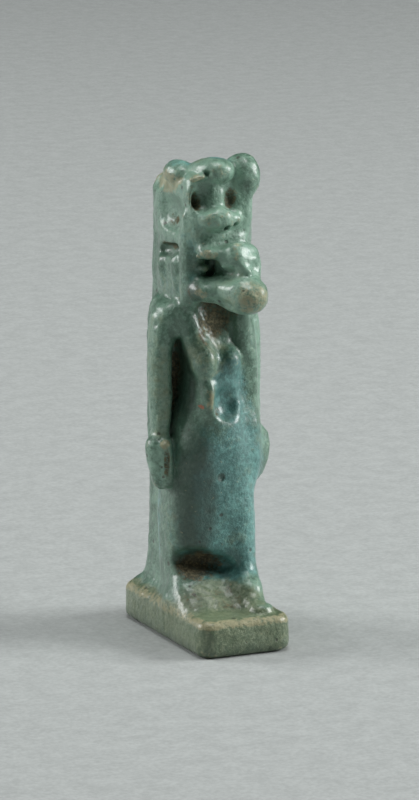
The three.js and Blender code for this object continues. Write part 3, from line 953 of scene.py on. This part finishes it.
@dataclass
class SurfaceState:
    """Where soil lies in the hollows, where the glaze is worn, where its colour drifts, and where shade and
    light are painted into its colour.
    """

    soil: tuple[Patch, ...] = (
        Patch((-0.1, -3.6, 3.4), (1.5, 2.2, 1.1), 0.45),
        Patch((-1.6, -1.9, 5.6), (2.4, 1.6, 1.2), 1.0),
        Patch((0.1, -1.9, 23.9), (1.6, 1.4, 2.2), 1.0),
        Patch((-1.1, -2.2, 23.0), (0.5, 0.9, 1.7), 0.85),
        Patch((-2.5, -2.8, 3.4), (0.8, 2.4, 0.8), 0.4),
        Patch((-2.2, -2.9, 25.8), (0.6, 0.9, 0.9), 0.45),
        Patch((-1.9, -2.4, 32.1), (0.5, 1.0, 0.9), 0.8),
        Patch((0.6, -2.5, 32.3), (0.6, 1.0, 0.9), 0.8),
        Patch((-2.35, 0.9, 30.5), (0.7, 1.1, 0.65), 0.75),
        Patch((-2.2, 1.0, 28.6), (0.7, 1.5, 0.4), 0.8),
        Patch((2.3, 0.9, 30.2), (0.7, 1.3, 0.9), 0.6),
        Patch((2.2, 0.6, 28.6), (0.7, 1.5, 0.6), 0.8),
        Patch((-0.4, -2.4, 16.9), (0.5, 0.8, 0.5), 0.7),
        Patch((-3.7, -1.35, 13.3), (0.25, 0.5, 1.3), 0.8),
        *(Patch((side * 2.5, 0.6, 19.4), (0.7, 1.2, 3.0), 0.65) for side in SIDES),
    )
    wear: tuple[Patch, ...] = (
        Patch((-1.95, 1.6, 33.2), (1.2, 3.3, 1.1), 1.0),
        Patch((2.2, -2.6, 33.2), (0.8, 0.8, 0.9), 0.35),
        Patch((0.6, -6.6, 25.8), (1.6, 1.0, 1.4), 0.55),
        Patch((-3.8, -1.3, 14.7), (0.4, 0.5, 0.4), 0.7),
    )
    olive: tuple[Patch, ...] = (
        Patch((-0.6, -4.0, 3.2), (3.6, 3.4, 1.6), 0.7),
        Patch((-3.7, 0.0, 18.5), (0.8, 1.6, 6.0), 0.35),
        Patch((0.6, -5.0, 26.0), (2.0, 3.0, 1.6), 0.3),
        Patch((-0.6, -1.6, 21.0), (2.0, 1.6, 2.6), 0.4),
        Patch((-1.3, -3.0, 27.6), (1.3, 1.4, 0.7), 0.5),
    )
    blue: tuple[Patch, ...] = (
        Patch((0.9, -1.8, 10.0), (3.4, 3.0, 8.0), 1.0),
        Patch((0.8, -2.4, 18.5), (1.8, 2.0, 3.0), 0.9),
        Patch((-2.6, 1.6, 10.0), (1.0, 1.0, 6.0), 0.8),
        Patch((-1.9, -2.1, 27.5), (0.7, 0.8, 3.2), 0.45),
        Patch((0.3, -1.2, 34.9), (1.0, 1.2, 0.7), 0.6),
        Patch((-1.6, 1.0, 34.4), (1.0, 1.4, 0.5), 0.5),
    )
    # Pale glaze, partly its own paler tone and partly painted light: the head and face, with a painted
    # highlight on the brow, and the lamp-lit outer sides of the arms, the right fist, the left foot's instep
    # and the sides of the skirt.
    pale: tuple[Patch, ...] = (
        Patch((0.0, -0.5, 31.8), (4.0, 6.0, 4.2), 1.0),
        Patch((0.5, -4.5, 27.0), (3.2, 3.2, 3.4), 1.0),
        Patch((-3.6, 0.2, 18.5), (0.9, 1.6, 6.5), 1.0),
        Patch((3.7, 0.0, 18.5), (1.2, 1.8, 6.5), 1.0),
        Patch((-3.7, -0.3, 13.3), (1.2, 1.6, 1.8), 1.0),
        Patch((1.9, -4.2, 3.8), (1.2, 2.8, 1.4), 0.9),
        Patch((2.6, -1.0, 8.5), (1.1, 2.2, 7.0), 0.6),
        Patch((-2.3, 2.6, 9.5), (1.6, 2.0, 8.0), 0.5),
    )
    # Painted shade: these patches darken the gap beside the right arm, the crown's hollows, the eye socket,
    # the end of the right cheek, the throat under the muzzle, the hem's hollow, the ground beside the right
    # foot, the skirt's front left that is turned from the lamps, and the burst pits.
    shade: tuple[Patch, ...] = (
        Patch((-1.9, -0.9, 19.0), (0.9, 1.4, 4.0), 0.9),
        Patch((-1.5, -2.6, 32.7), (0.6, 1.0, 1.2), 0.5),
        Patch((-2.4, 0.5, 31.4), (0.7, 1.7, 1.1), 0.55),
        Patch((-2.2, -2.9, 25.8), (0.8, 0.9, 1.0), 0.8),
        Patch((-2.4, -3.0, 3.4), (1.0, 2.6, 0.9), 0.5),
        Patch((-1.6, -2.4, 27.4), (0.9, 1.2, 0.7), 0.4),
        Patch((0.3, -2.2, 24.6), (2.0, 1.2, 1.4), 0.8),
        Patch((-1.9, -2.3, 10.5), (1.9, 2.0, 6.5), 0.8),
        Patch((-1.6, -1.4, 5.8), (2.0, 1.4, 0.9), 0.9),
        *(Patch(pit, (0.42, 0.8, 0.42)) for pit in FRONT_PITS),
    )
    red: tuple[Patch, ...] = (
        Patch((-1.65, -2.75, 17.4), (0.24, 0.5, 0.22), 0.75),
        Patch((2.65, -1.7, 5.85), (0.32, 0.6, 0.3), 0.9),
    )
    fine_radius: float = 0.45
    broad_radius: float = 1.5

    def read(self, clay: Clay, places: np.ndarray) -> dict[Coat, np.ndarray]:
        """Work out every coat at every place.

        Args:
            clay: The finished clay, for its hollows and edges.
            places: Places in millimetres.

        Returns:
            One array of numbers between 0 and 1 for each coat.
        """
        near = clay.crowding(places, self.fine_radius)
        wide = clay.crowding(places, self.broad_radius)
        hollow_share = smooth_step(wide, 0.58, 0.82) * 0.7 + smooth_step(near, 0.56, 0.8) * 0.5
        edge = smooth_step(near, 0.46, 0.34) * 0.6 + smooth_step(wide, 0.38, 0.22) * 0.55
        plinth, foot, rim = self._on_plinth(Plinth(), places)
        # Painted shade: the patches, darkening in hollows, and darker towards the plinth's foot and over the
        # whole plinth.
        shade = cover(self.shade, places) + 0.5 * hollow_share + 0.35 * foot + 0.2 * plinth
        return {
            Coat.SOIL: np.clip(cover(self.soil, places) + 0.45 * hollow_share, 0, 1),
            Coat.WEAR: np.clip(cover(self.wear, places) + 0.7 * edge + 0.75 * rim, 0, 1),
            Coat.BLUE: cover(self.blue, places),
            Coat.OLIVE: np.clip(plinth + cover(self.olive, places), 0, 1),
            Coat.PALE: cover(self.pale, places),
            Coat.SHADE: np.clip(shade, 0, 1),
            Coat.RED: cover(self.red, places),
        }

    @staticmethod
    def _on_plinth(slab: Plinth, places: np.ndarray) -> tuple[np.ndarray, ...]:
        """Find the plinth's surface, its foot and the rim of its top.

        Args:
            slab: The plinth.
            places: Places in millimetres.

        Returns:
            Shares between 0 and 1 for the whole plinth, for its foot and for its rim.
        """
        x, y, z = places.T
        plinth = smooth_step(z, slab.height + slab.edge, slab.height - 0.1)
        foot = smooth_step(z, 1.6, 0.2)
        to_side = np.minimum(slab.width / 2 - np.abs(x), slab.depth / 2 - np.abs(y))
        from_top = np.abs(z - (slab.height - 0.2))
        return plinth, foot, smooth_step(to_side, 1.0, 0.3) * smooth_step(from_top, 0.55, 0.2)


class Signal:
    """A number that varies over the surface; an expression on it adds its own Math nodes."""

    def __init__(self, nodes: "Nodes", socket: bpy.types.NodeSocket) -> None:
        """Keep the socket that gives the number.

        Args:
            nodes: The tree that the socket is in.
            socket: The output socket.
        """
        self.nodes, self.socket = nodes, socket

    def _maths(self, operation: str, *values: "float | Signal") -> "Signal":
        """Add one Math node.

        Args:
            operation: The Math node's operation.
            values: Its values, in order.

        Returns:
            The node's result.
        """
        return self.nodes.signal("ShaderNodeMath", {"operation": operation}, dict(enumerate(values)))

    def __add__(self, other: "float | Signal") -> "Signal":
        """Add a number or signal."""
        return self._maths("ADD", self, other)

    __radd__ = __add__

    def __sub__(self, other: "float | Signal") -> "Signal":
        """Subtract a number or signal."""
        return self._maths("SUBTRACT", self, other)

    def __rsub__(self, other: float) -> "Signal":
        """Subtract this signal from a number."""
        return self._maths("SUBTRACT", other, self)

    def __mul__(self, other: "float | Signal") -> "Signal":
        """Multiply by a number or signal."""
        return self._maths("MULTIPLY", self, other)

    __rmul__ = __mul__

    def clamped(self) -> "Signal":
        """Keep the number between 0 and 1."""
        return self.nodes.signal("ShaderNodeClamp", {}, {"Value": self})

    def between(self, start: float, end: float) -> "Signal":
        """Rise smoothly from 0 at start to 1 at end."""
        values = {"Value": self, "From Min": start, "From Max": end}
        return self.nodes.signal("ShaderNodeMapRange", {"interpolation_type": "SMOOTHSTEP"}, values)


class Nodes:
    """A node tree that is filled through one method."""

    def __init__(self, tree: bpy.types.NodeTree) -> None:
        """Keep the tree.

        Args:
            tree: A shader tree or a geometry tree.
        """
        self.tree = tree

    def add(self, kind: str, settings: dict[str, Any], values: dict[Any, Any]) -> bpy.types.Node:
        """Add a node.

        Args:
            kind: The node's type.
            settings: Its settings, set before its values.
            values: A number, colour, signal or socket for each input, by name or number.

        Returns:
            The new node.
        """
        node = self.tree.nodes.new(kind)
        for name, setting in settings.items():
            setattr(node, name, setting)
        for key, value in values.items():
            self.feed(node.inputs[key], value)
        return node

    def feed(self, target: bpy.types.NodeSocket, value: Any) -> None:
        """Link or set one input.

        Args:
            target: The input socket.
            value: A number, colour, signal or socket.
        """
        source = value.socket if isinstance(value, Signal) else value
        if isinstance(source, bpy.types.NodeSocket):
            self.tree.links.new(source, target)
        else:
            target.default_value = source

    def signal(self, kind: str, settings: dict[str, Any], values: dict[Any, Any], out: Any = 0) -> Signal:
        """Add a node and take one of its outputs as a signal.

        Args:
            kind: The node's type.
            settings: Its settings.
            values: Its inputs.
            out: Name or number of the output.

        Returns:
            The output as a signal.
        """
        return Signal(self, self.add(kind, settings, values).outputs[out])

    def mixed(self, share: Signal, first: Any, second: Any) -> bpy.types.NodeSocket:
        """Mix two colours.

        Args:
            share: 0 gives the first colour and 1 the second.
            first: A colour or a socket.
            second: A colour or a socket.

        Returns:
            The mixed colour's socket.
        """
        colours = [(*c, 1.0) if isinstance(c, tuple) else c for c in (first, second)]
        values = {0: share, 6: colours[0], 7: colours[1]}
        return self.add("ShaderNodeMix", {"data_type": "RGBA"}, values).outputs[2]

    def scaled(self, vector: bpy.types.NodeSocket, factor: Any) -> bpy.types.NodeSocket:
        """Scale a vector by a number or signal."""
        return self.add("ShaderNodeVectorMath", {"operation": "SCALE"}, {0: vector, 3: factor}).outputs[0]

    def object_places(self) -> bpy.types.NodeSocket:
        """Give the places on the object, in millimetres."""
        coordinates = self.add("ShaderNodeTexCoord", {}, {}).outputs["Object"]
        return self.scaled(coordinates, 1.0 / MM)

    def noise(self, places: bpy.types.NodeSocket, scale: Any, detail: float, rough: float = 0.5) -> Signal:
        """Add a cloudy noise.

        Args:
            places: Places in millimetres.
            scale: Clouds for each millimetre, a number or signal.
            detail: How many finer layers it has.
            rough: How strong the finer layers are.

        Returns:
            A signal of about 0.25 to 0.75.
        """
        values = {"Vector": places, "Scale": scale, "Detail": detail, "Roughness": rough}
        return self.signal("ShaderNodeTexNoise", {}, values)


@dataclass(frozen=True)
class Unevenness:
    """The noises that the layers of the finish share, each between about -0.25 and 0.25."""

    cloud: Signal
    mottle: Signal
    grain: Signal
    fine: Signal
    drift: Signal


@dataclass(frozen=True)
class GlazedCeramic:
    """The worn blue-green glaze, its tan body where it is rubbed, brown soil in the hollows, and painted
    shade and painted light in its colour.
    """

    green: Colour = (0.085, 0.18, 0.12)
    pale_green: Colour = (0.25, 0.43, 0.32)
    turquoise_deep: Colour = (0.06, 0.20, 0.19)
    turquoise: Colour = (0.18, 0.46, 0.43)
    olive: Colour = (0.115, 0.16, 0.075)
    olive_pale: Colour = (0.26, 0.30, 0.17)
    # Colour of the painted shade.
    deep: Colour = (0.02, 0.055, 0.035)
    tan: Colour = (0.42, 0.38, 0.22)
    soil_brown: Colour = (0.055, 0.038, 0.016)
    soil_light: Colour = (0.21, 0.16, 0.08)
    speck_dark: Colour = (0.03, 0.035, 0.018)
    red_brown: Colour = (0.40, 0.13, 0.06)
    blue_strength: float = 0.85
    olive_strength: float = 0.8
    painted_shade_strength: float = 0.8
    wear_strength: float = 0.7
    soil_strength: float = 0.85
    speck_strength: float = 0.6
    pore_strength: float = 0.75
    rub_strength: float = 0.55
    roughness: float = 0.46
    gloss_roughness: float = 0.29
    bump_strength: float = 0.6
    bump_height: float = 0.13
    pore_pace: float = 1.3
    pore_size: float = 0.24

    def material(self) -> bpy.types.Material:
        """Build the material, from the glaze itself to what wear and soil lay over it.

        Returns:
            The glazed material.
        """
        material = bpy.data.materials.new("worn_glaze")
        material.use_nodes = True
        nodes = Nodes(material.node_tree)
        places = nodes.object_places()
        coats = {coat: self._coat(nodes, coat) for coat in Coat}
        uneven = self._unevenness(nodes, places)
        wear = (coats[Coat.WEAR] * 0.9 + uneven.drift * 1.6 + uneven.grain * 0.9).between(0.42, 0.9)
        soil = (coats[Coat.SOIL] * 0.9 + uneven.mottle * 1.5 + uneven.grain * 1.0).between(0.35, 0.85)
        specks = (uneven.drift + uneven.grain * 0.9).between(0.24, 0.36)
        pores = self._pores(nodes, places, uneven.grain)
        rubs = (nodes.noise(nodes.scaled(places, -1.0), 3.4, 2, 0.7) + uneven.grain * 0.3).between(0.68, 0.78)
        red = (coats[Coat.RED] + uneven.grain * 1.4).between(0.3, 0.6)
        earthy = (uneven.grain + uneven.drift * 0.6).between(-0.1, 0.24)
        earth = nodes.mixed(earthy, self.soil_brown, self.soil_light)
        colour = self._glaze(nodes, coats, uneven)
        colour = nodes.mixed(wear * self.wear_strength, colour, self.tan)
        colour = nodes.mixed(soil * self.soil_strength, colour, earth)
        colour = nodes.mixed(specks * self.speck_strength, colour, self.speck_dark)
        colour = nodes.mixed(pores * self.pore_strength, colour, self.speck_dark)
        colour = nodes.mixed(rubs * self.rub_strength, colour, self.tan)
        colour = nodes.mixed(red, colour, self.red_brown)
        dull = (soil * 0.9 + wear * 0.35).clamped()
        height = uneven.mottle * 1.1 + uneven.grain * 0.9 + uneven.fine * 0.5 - specks * 0.3 - pores * 0.6
        bump_values = {"Strength": self.bump_strength, "Distance": self.bump_height * MM, "Height": height}
        inputs = material.node_tree.nodes["Principled BSDF"].inputs
        rough = self.roughness + uneven.mottle * 0.4 + uneven.grain * 0.2 + dull * 0.4
        nodes.feed(inputs["Base Color"], colour)
        nodes.feed(inputs["Roughness"], rough.clamped())
        nodes.feed(inputs["Coat Weight"], ((1.0 - dull) * 0.9 + uneven.grain * 0.4).clamped())
        nodes.feed(inputs["Coat Roughness"], self.gloss_roughness)
        nodes.feed(inputs["Normal"], nodes.add("ShaderNodeBump", {}, bump_values).outputs[0])
        return material

    def _glaze(self, nodes: Nodes, coats: dict[Coat, Signal], uneven: Unevenness) -> bpy.types.NodeSocket:
        """Mix the colours of the glaze itself, with its olive drifts, the painted light, and the painted
        shade in hollows and on sides turned from the lamps.

        Args:
            nodes: The material's tree.
            coats: The coats that the mesh carries.
            uneven: The shared noises.

        Returns:
            The colour's socket.
        """
        cloud, mottle, grain, drift = uneven.cloud, uneven.mottle, uneven.grain, uneven.drift
        # Pale tone that is partly the glaze's own and partly painted light.
        pale = coats[Coat.PALE] * 0.36 - 0.14
        green_tone = mottle * 1.3 + grain * 0.9 + uneven.fine * 0.4 + cloud * 0.5 + pale
        blue_tone = drift * 1.4 + grain * 0.4 + uneven.fine * 0.3 + cloud * 0.5 + pale
        olive_tone = drift * 1.3 + grain + cloud * 0.5
        greens = nodes.mixed(green_tone.between(-0.34, 0.36), self.green, self.pale_green)
        blues = nodes.mixed(blue_tone.between(-0.32, 0.34), self.turquoise_deep, self.turquoise)
        olives = nodes.mixed(olive_tone.between(-0.25, 0.3), self.olive, self.olive_pale)
        blue = (coats[Coat.BLUE] + cloud * 1.5 + drift * 0.9).between(0.1, 0.8)
        olive = (coats[Coat.OLIVE] + cloud * 1.2 + mottle * 1.2 + 0.12).between(0.2, 0.75)
        # Painted shade: darkens the glaze towards the shade colour.
        shade = (coats[Coat.SHADE] + cloud * 0.3 + mottle * 0.6).between(0.15, 1.0)
        colour = nodes.mixed(blue * self.blue_strength, greens, blues)
        colour = nodes.mixed(olive * self.olive_strength, colour, olives)
        return nodes.mixed(shade * self.painted_shade_strength, colour, self.deep)

    def _pores(self, nodes: Nodes, places: bpy.types.NodeSocket, ragged: Signal) -> Signal:
        """Scatter small dark pores.

        Args:
            nodes: The material's tree.
            places: Places in millimetres.
            ragged: A noise that makes the pores uneven.

        Returns:
            A signal of 1 in a pore and 0 between pores.
        """
        cells = nodes.add("ShaderNodeTexVoronoi", {}, {"Vector": places, "Scale": self.pore_pace})
        pick = nodes.signal("ShaderNodeSeparateXYZ", {}, {0: cells.outputs["Color"]})
        size = pick.between(0.6, 1.0) * self.pore_size + ragged * 0.25
        return (size - Signal(nodes, cells.outputs["Distance"])).between(-0.03, 0.1)

    @staticmethod
    def _unevenness(nodes: Nodes, places: bpy.types.NodeSocket) -> Unevenness:
        """Add the shared noises.

        Args:
            nodes: The material's tree.
            places: Places in millimetres.

        Returns:
            The noises, each around 0.
        """
        return Unevenness(
            cloud=nodes.noise(places, 0.45, 2) - 0.5,
            mottle=nodes.noise(places, 1.5, 4, 0.6) - 0.5,
            grain=nodes.noise(places, 5.0, 3, 0.6) - 0.5,
            fine=nodes.noise(places, 13.0, 2, 0.6) - 0.5,
            drift=nodes.noise(nodes.scaled(places, -1.0), 2.4, 4, 0.62) - 0.5,
        )

    @staticmethod
    def _coat(nodes: Nodes, coat: Coat) -> Signal:
        """Read one coat from the mesh."""
        return nodes.signal("ShaderNodeAttribute", {"attribute_name": coat.value}, {}, "Fac")


@dataclass
class GlazeRelief:
    """The fine relief of the fired surface: slow waves, burst pits and the grain of packed soil."""

    wave_height: float = 0.085
    wave_pace: float = 0.8
    pit_spacing: float = 1.1
    pit_depth: float = 0.11
    grain_height: float = 0.09
    flat_foot: float = 0.25
    seed: int = 7

    def inputs(self) -> dict[str, float]:
        """Name the tree's inputs.

        Returns:
            The value of each input.
        """
        return {
            "Wave Height": self.wave_height,
            "Wave Pace": self.wave_pace,
            "Pit Pace": 1.0 / self.pit_spacing,
            "Pit Depth": self.pit_depth,
            "Grain Height": self.grain_height,
            "Seed": float(self.seed),
        }

    def tree(self, material: bpy.types.Material) -> bpy.types.NodeTree:
        """Build the geometry tree that moves the surface along its normals.

        Args:
            material: The finish that the tree sets.

        Returns:
            The node group.
        """
        group = bpy.data.node_groups.new("glaze_relief", "GeometryNodeTree")
        face = group.interface
        face.new_socket("Geometry", in_out="INPUT", socket_type="NodeSocketGeometry")
        for name in self.inputs():
            face.new_socket(name, in_out="INPUT", socket_type="NodeSocketFloat")
        face.new_socket("Geometry", in_out="OUTPUT", socket_type="NodeSocketGeometry")
        nodes = Nodes(group)
        given = nodes.add("NodeGroupInput", {}, {}).outputs
        size = {name: Signal(nodes, given[name]) for name in self.inputs()}
        places = nodes.scaled(nodes.add("GeometryNodeInputPosition", {}, {}).outputs[0], 1.0 / MM)
        normal = nodes.add("GeometryNodeInputNormal", {}, {}).outputs[0]
        up = nodes.signal("ShaderNodeSeparateXYZ", {}, {0: places}, "Z")
        height = self._height(nodes, places, size) * up.between(0.02, self.flat_foot) * MM
        offset = nodes.scaled(normal, height)
        settled = nodes.add("GeometryNodeSetPosition", {}, {"Geometry": given[0], "Offset": offset})
        whole = nodes.add("GeometryNodeRealizeInstances", {}, {0: settled.outputs[0]})
        dressed = nodes.add("GeometryNodeSetMaterial", {}, {0: whole.outputs[0], "Material": material})
        nodes.add("NodeGroupOutput", {}, {0: dressed.outputs[0]})
        return group

    @staticmethod
    def _height(nodes: Nodes, places: bpy.types.NodeSocket, size: dict[str, Signal]) -> Signal:
        """Work out how far each place is moved.

        Args:
            nodes: The geometry tree.
            places: Places in millimetres.
            size: The tree's named inputs.

        Returns:
            A height in millimetres, negative where the surface sinks.
        """
        seed, wave_height, pace = size["Seed"], size["Wave Height"], size["Wave Pace"]
        shift = nodes.add("ShaderNodeCombineXYZ", {}, {0: seed, 1: seed * 1.7}).outputs[0]
        moved = nodes.add("ShaderNodeVectorMath", {"operation": "ADD"}, {0: places, 1: shift}).outputs[0]
        wave = nodes.noise(moved, pace, 2.0) - 0.5
        coarse = nodes.noise(moved, pace * 4.0, 3.0) - 0.5
        pit_values = {"Vector": moved, "Scale": size["Pit Pace"]}
        pits = nodes.add("ShaderNodeTexVoronoi", {"voronoi_dimensions": "3D"}, pit_values)
        chosen = nodes.signal("ShaderNodeSeparateXYZ", {}, {0: pits.outputs["Color"]}).between(0.5, 0.9)
        depth = (1.0 - Signal(nodes, pits.outputs["Distance"]).between(0.02, 0.2)) * chosen
        soil_name = {"Name": Coat.SOIL.value}
        soil = nodes.signal("GeometryNodeInputNamedAttribute", {"data_type": "FLOAT"}, soil_name)
        crumbs = (nodes.noise(moved, pace * 3.2, 4.0) - 0.5) * soil.between(0.25, 0.8)
        height = wave * wave_height * 2.0 + coarse * wave_height * 0.8
        return height - depth * size["Pit Depth"] + crumbs * size["Grain Height"] * 2.0

    def apply(self, piece: bpy.types.Object, material: bpy.types.Material) -> bpy.types.Object:
        """Give a piece its relief and return the result as a plain mesh.

        Args:
            piece: The smooth piece.
            material: Its finish.

        Returns:
            The finished piece, with no modifier.
        """
        modifier = piece.modifiers.new("relief", "NODES")
        modifier.node_group = self.tree(material)
        values = self.inputs()
        for item in modifier.node_group.interface.items_tree:
            if item.in_out == "INPUT" and item.name in values:
                modifier[item.identifier] = values[item.name]
        graph = bpy.context.evaluated_depsgraph_get()
        mesh = bpy.data.meshes.new_from_object(piece.evaluated_get(graph))
        name = piece.name
        bpy.data.objects.remove(piece)
        return put_in_scene(name, mesh)


def put_in_scene(name: str, data: bpy.types.ID) -> bpy.types.Object:
    """Put an object in the scene.

    Args:
        name: Its name.
        data: Its mesh, lamp or camera.

    Returns:
        The new object.
    """
    thing = bpy.data.objects.new(name, data)
    bpy.context.scene.collection.objects.link(thing)
    return thing


@dataclass
class Amulet:
    """The whole amulet: every form joined in one clay, skinned, finished and set on its body."""

    name: str = "glazed_amulet"
    node: str = "hathor_amulet"
    slot: str = "faience"
    low: Triple = (-5.3, -7.9, -0.4)
    high: Triple = (5.3, 7.9, 35.8)
    cell: float = 0.14
    swell_height: float = 0.03

    def shape(self) -> Clay:
        """Join every form, in the order in which the maker would build them up.

        Returns:
            The finished clay.
        """
        clay = Clay(self.low, self.high, self.cell)
        trunk, crown = Trunk(), Crown()
        clay.take([*Pillar().steps(), *trunk.steps(), *Arms().steps(), *trunk.grooves()])
        clay.take([*Feet().steps(), *Bust().steps(), *Wig().steps()])
        clay.take([*crown.steps(), *Face().steps(), *crown.side_steps()])
        x, y, z = clay.places()
        swell = np.sin(1.3 * x + 0.5 * z + 0.5) * np.sin(1.1 * y - 0.6 * z)
        clay.distances += self.swell_height * swell
        Plinth().model(clay)
        return clay

    def mesh(self) -> bpy.types.Mesh:
        """Skin the clay and note its coats.

        Returns:
            The mesh, in metres.
        """
        clay = self.shape()
        places, faces = clay.skin()
        mesh = bpy.data.meshes.new(self.name)
        mesh.vertices.add(len(places))
        mesh.vertices.foreach_set("co", (places * MM).astype(np.float32).ravel())
        mesh.loops.add(faces.size)
        mesh.loops.foreach_set("vertex_index", faces.astype(np.int32).ravel())
        mesh.polygons.add(len(faces))
        mesh.polygons.foreach_set("loop_start", np.arange(0, faces.size, 4, dtype=np.int32))
        mesh.polygons.foreach_set("use_smooth", np.ones(len(faces), bool))
        mesh.update(calc_edges=True)
        for coat, values in SurfaceState().read(clay, places).items():
            attribute = mesh.attributes.new(coat.value, "FLOAT", "POINT")
            attribute.data.foreach_set("value", values.astype(np.float32))
        return mesh

    def build(self) -> bpy.types.Object:
        """Build the amulet and set it in place of the plain solid.

        Returns:
            The finished piece.
        """
        piece = GlazeRelief().apply(put_in_scene(self.name, self.mesh()), GlazedCeramic().material())
        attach(piece, "root")
        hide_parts(self.node)
        return piece


class Lamp(Enum):
    """The studio's lights: metres right of, behind and above the amulet, size in metres, watts."""

    RIGHT_BOX = ((0.50, 0.03, 0.24), 0.28, 2.7)
    LEFT_BOX = ((-0.50, 0.12, 0.22), 0.27, 1.7)
    TOP_BOX = ((0.0, -0.03, 0.80), 0.45, 3.4)


@dataclass
class Studio:
    """A plain pale floor, soft lights and the camera, in metres and degrees."""

    azimuth: float = -24.4
    elevation: float = 12.2
    distance: float = 0.3605
    target: Triple = (0.00069, 0.00094, 0.017)
    aim: Triple = (0.0, 0.0, 0.016)
    sensor: float = 36.0
    lens: float = 225.0
    clip: tuple[float, float] = (0.01, 20.0)
    room_colour: Colour = (0.62, 0.65, 0.65)
    room_light: float = 0.03
    floor_half: float = 3.0
    floor_grey: float = 0.44
    floor_contrast: float = 0.13
    floor_tint: Colour = (0.94, 1.0, 0.98)
    floor_roughness: float = 0.9

    def camera(self) -> None:
        """Stand the camera where the photograph was taken from."""
        turn, rise = math.radians(self.azimuth), math.radians(self.elevation)
        back = Vector((math.sin(turn) * math.cos(rise), -math.cos(turn) * math.cos(rise), math.sin(rise)))
        data = bpy.data.cameras.new("camera")
        data.lens, data.sensor_width, data.sensor_fit = self.lens, self.sensor, "AUTO"
        data.clip_start, data.clip_end = self.clip
        camera = put_in_scene("camera", data)
        camera.location = Vector(self.target) + back * self.distance
        camera.rotation_euler = back.to_track_quat("Z", "Y").to_euler()
        bpy.context.scene.camera = camera

    def lights(self) -> None:
        """Hang the soft boxes around the amulet, as the camera sees it."""
        turn = math.radians(self.azimuth)
        right = Vector((math.cos(turn), math.sin(turn), 0))
        behind = Vector((-math.sin(turn), math.cos(turn), 0))
        for lamp in Lamp:
            (sideways, back, up), size, power = lamp.value
            data = bpy.data.lights.new(lamp.name.lower(), "AREA")
            data.shape, data.size, data.energy = "DISK", size, power
            light = put_in_scene(lamp.name.lower(), data)
            light.location = right * sideways + behind * back + Vector((0, 0, up))
            aim = Vector(self.aim) - light.location
            light.rotation_euler = aim.to_track_quat("-Z", "Y").to_euler()

    def room(self) -> None:
        """Set the room's faint light."""
        world = bpy.data.worlds.new("room")
        world.use_nodes = True
        inputs = world.node_tree.nodes["Background"].inputs
        inputs["Color"].default_value = (*self.room_colour, 1.0)
        inputs["Strength"].default_value = self.room_light
        bpy.context.scene.world = world

    def floor(self) -> None:
        """Lay the pale floor."""
        half = self.floor_half
        mesh = bpy.data.meshes.new("floor")
        corners = [(-half, -half, 0), (half, -half, 0), (half, half, 0), (-half, half, 0)]
        mesh.from_pydata(corners, [], [(0, 1, 2, 3)])
        mesh.materials.append(self.paper())
        floor = put_in_scene("floor", mesh)

    def paper(self) -> bpy.types.Material:
        """Make the floor's paper, with faint blots and fibres.

        Returns:
            The paper's material.
        """
        material = bpy.data.materials.new("floor_paper")
        material.use_nodes = True
        nodes = Nodes(material.node_tree)
        places = nodes.object_places()
        blots = nodes.noise(places, 0.55, 3, 0.7) - 0.5
        fibres = nodes.noise(places, 2.6, 3, 0.7) - 0.5
        tone = (blots * 0.9 + fibres * 1.1).between(-0.4, 0.4)
        greys = (self.floor_grey * (1.0 - self.floor_contrast), self.floor_grey * (1.0 + self.floor_contrast))
        dark, light = (tuple(grey * tint for tint in self.floor_tint) for grey in greys)
        inputs = material.node_tree.nodes["Principled BSDF"].inputs
        nodes.feed(inputs["Base Color"], nodes.mixed(tone, dark, light))
        nodes.feed(inputs["Roughness"], self.floor_roughness)
        return material

    def arrange(self) -> None:
        """Set up the whole studio."""
        self.camera()
        self.lights()
        self.room()
        self.floor()
        bpy.context.scene.view_settings.view_transform = "Standard"


def main() -> None:
    """Build the amulet and the studio, and log the number of faces of the finished piece."""
    logging.basicConfig(level=logging.INFO, format="%(name)s: %(message)s")
    piece = Amulet().build()
    LOG.info("built %s with %d faces", piece.name, len(piece.data.polygons))
    Studio().arrange()


if __name__ == "__main__":
    main()
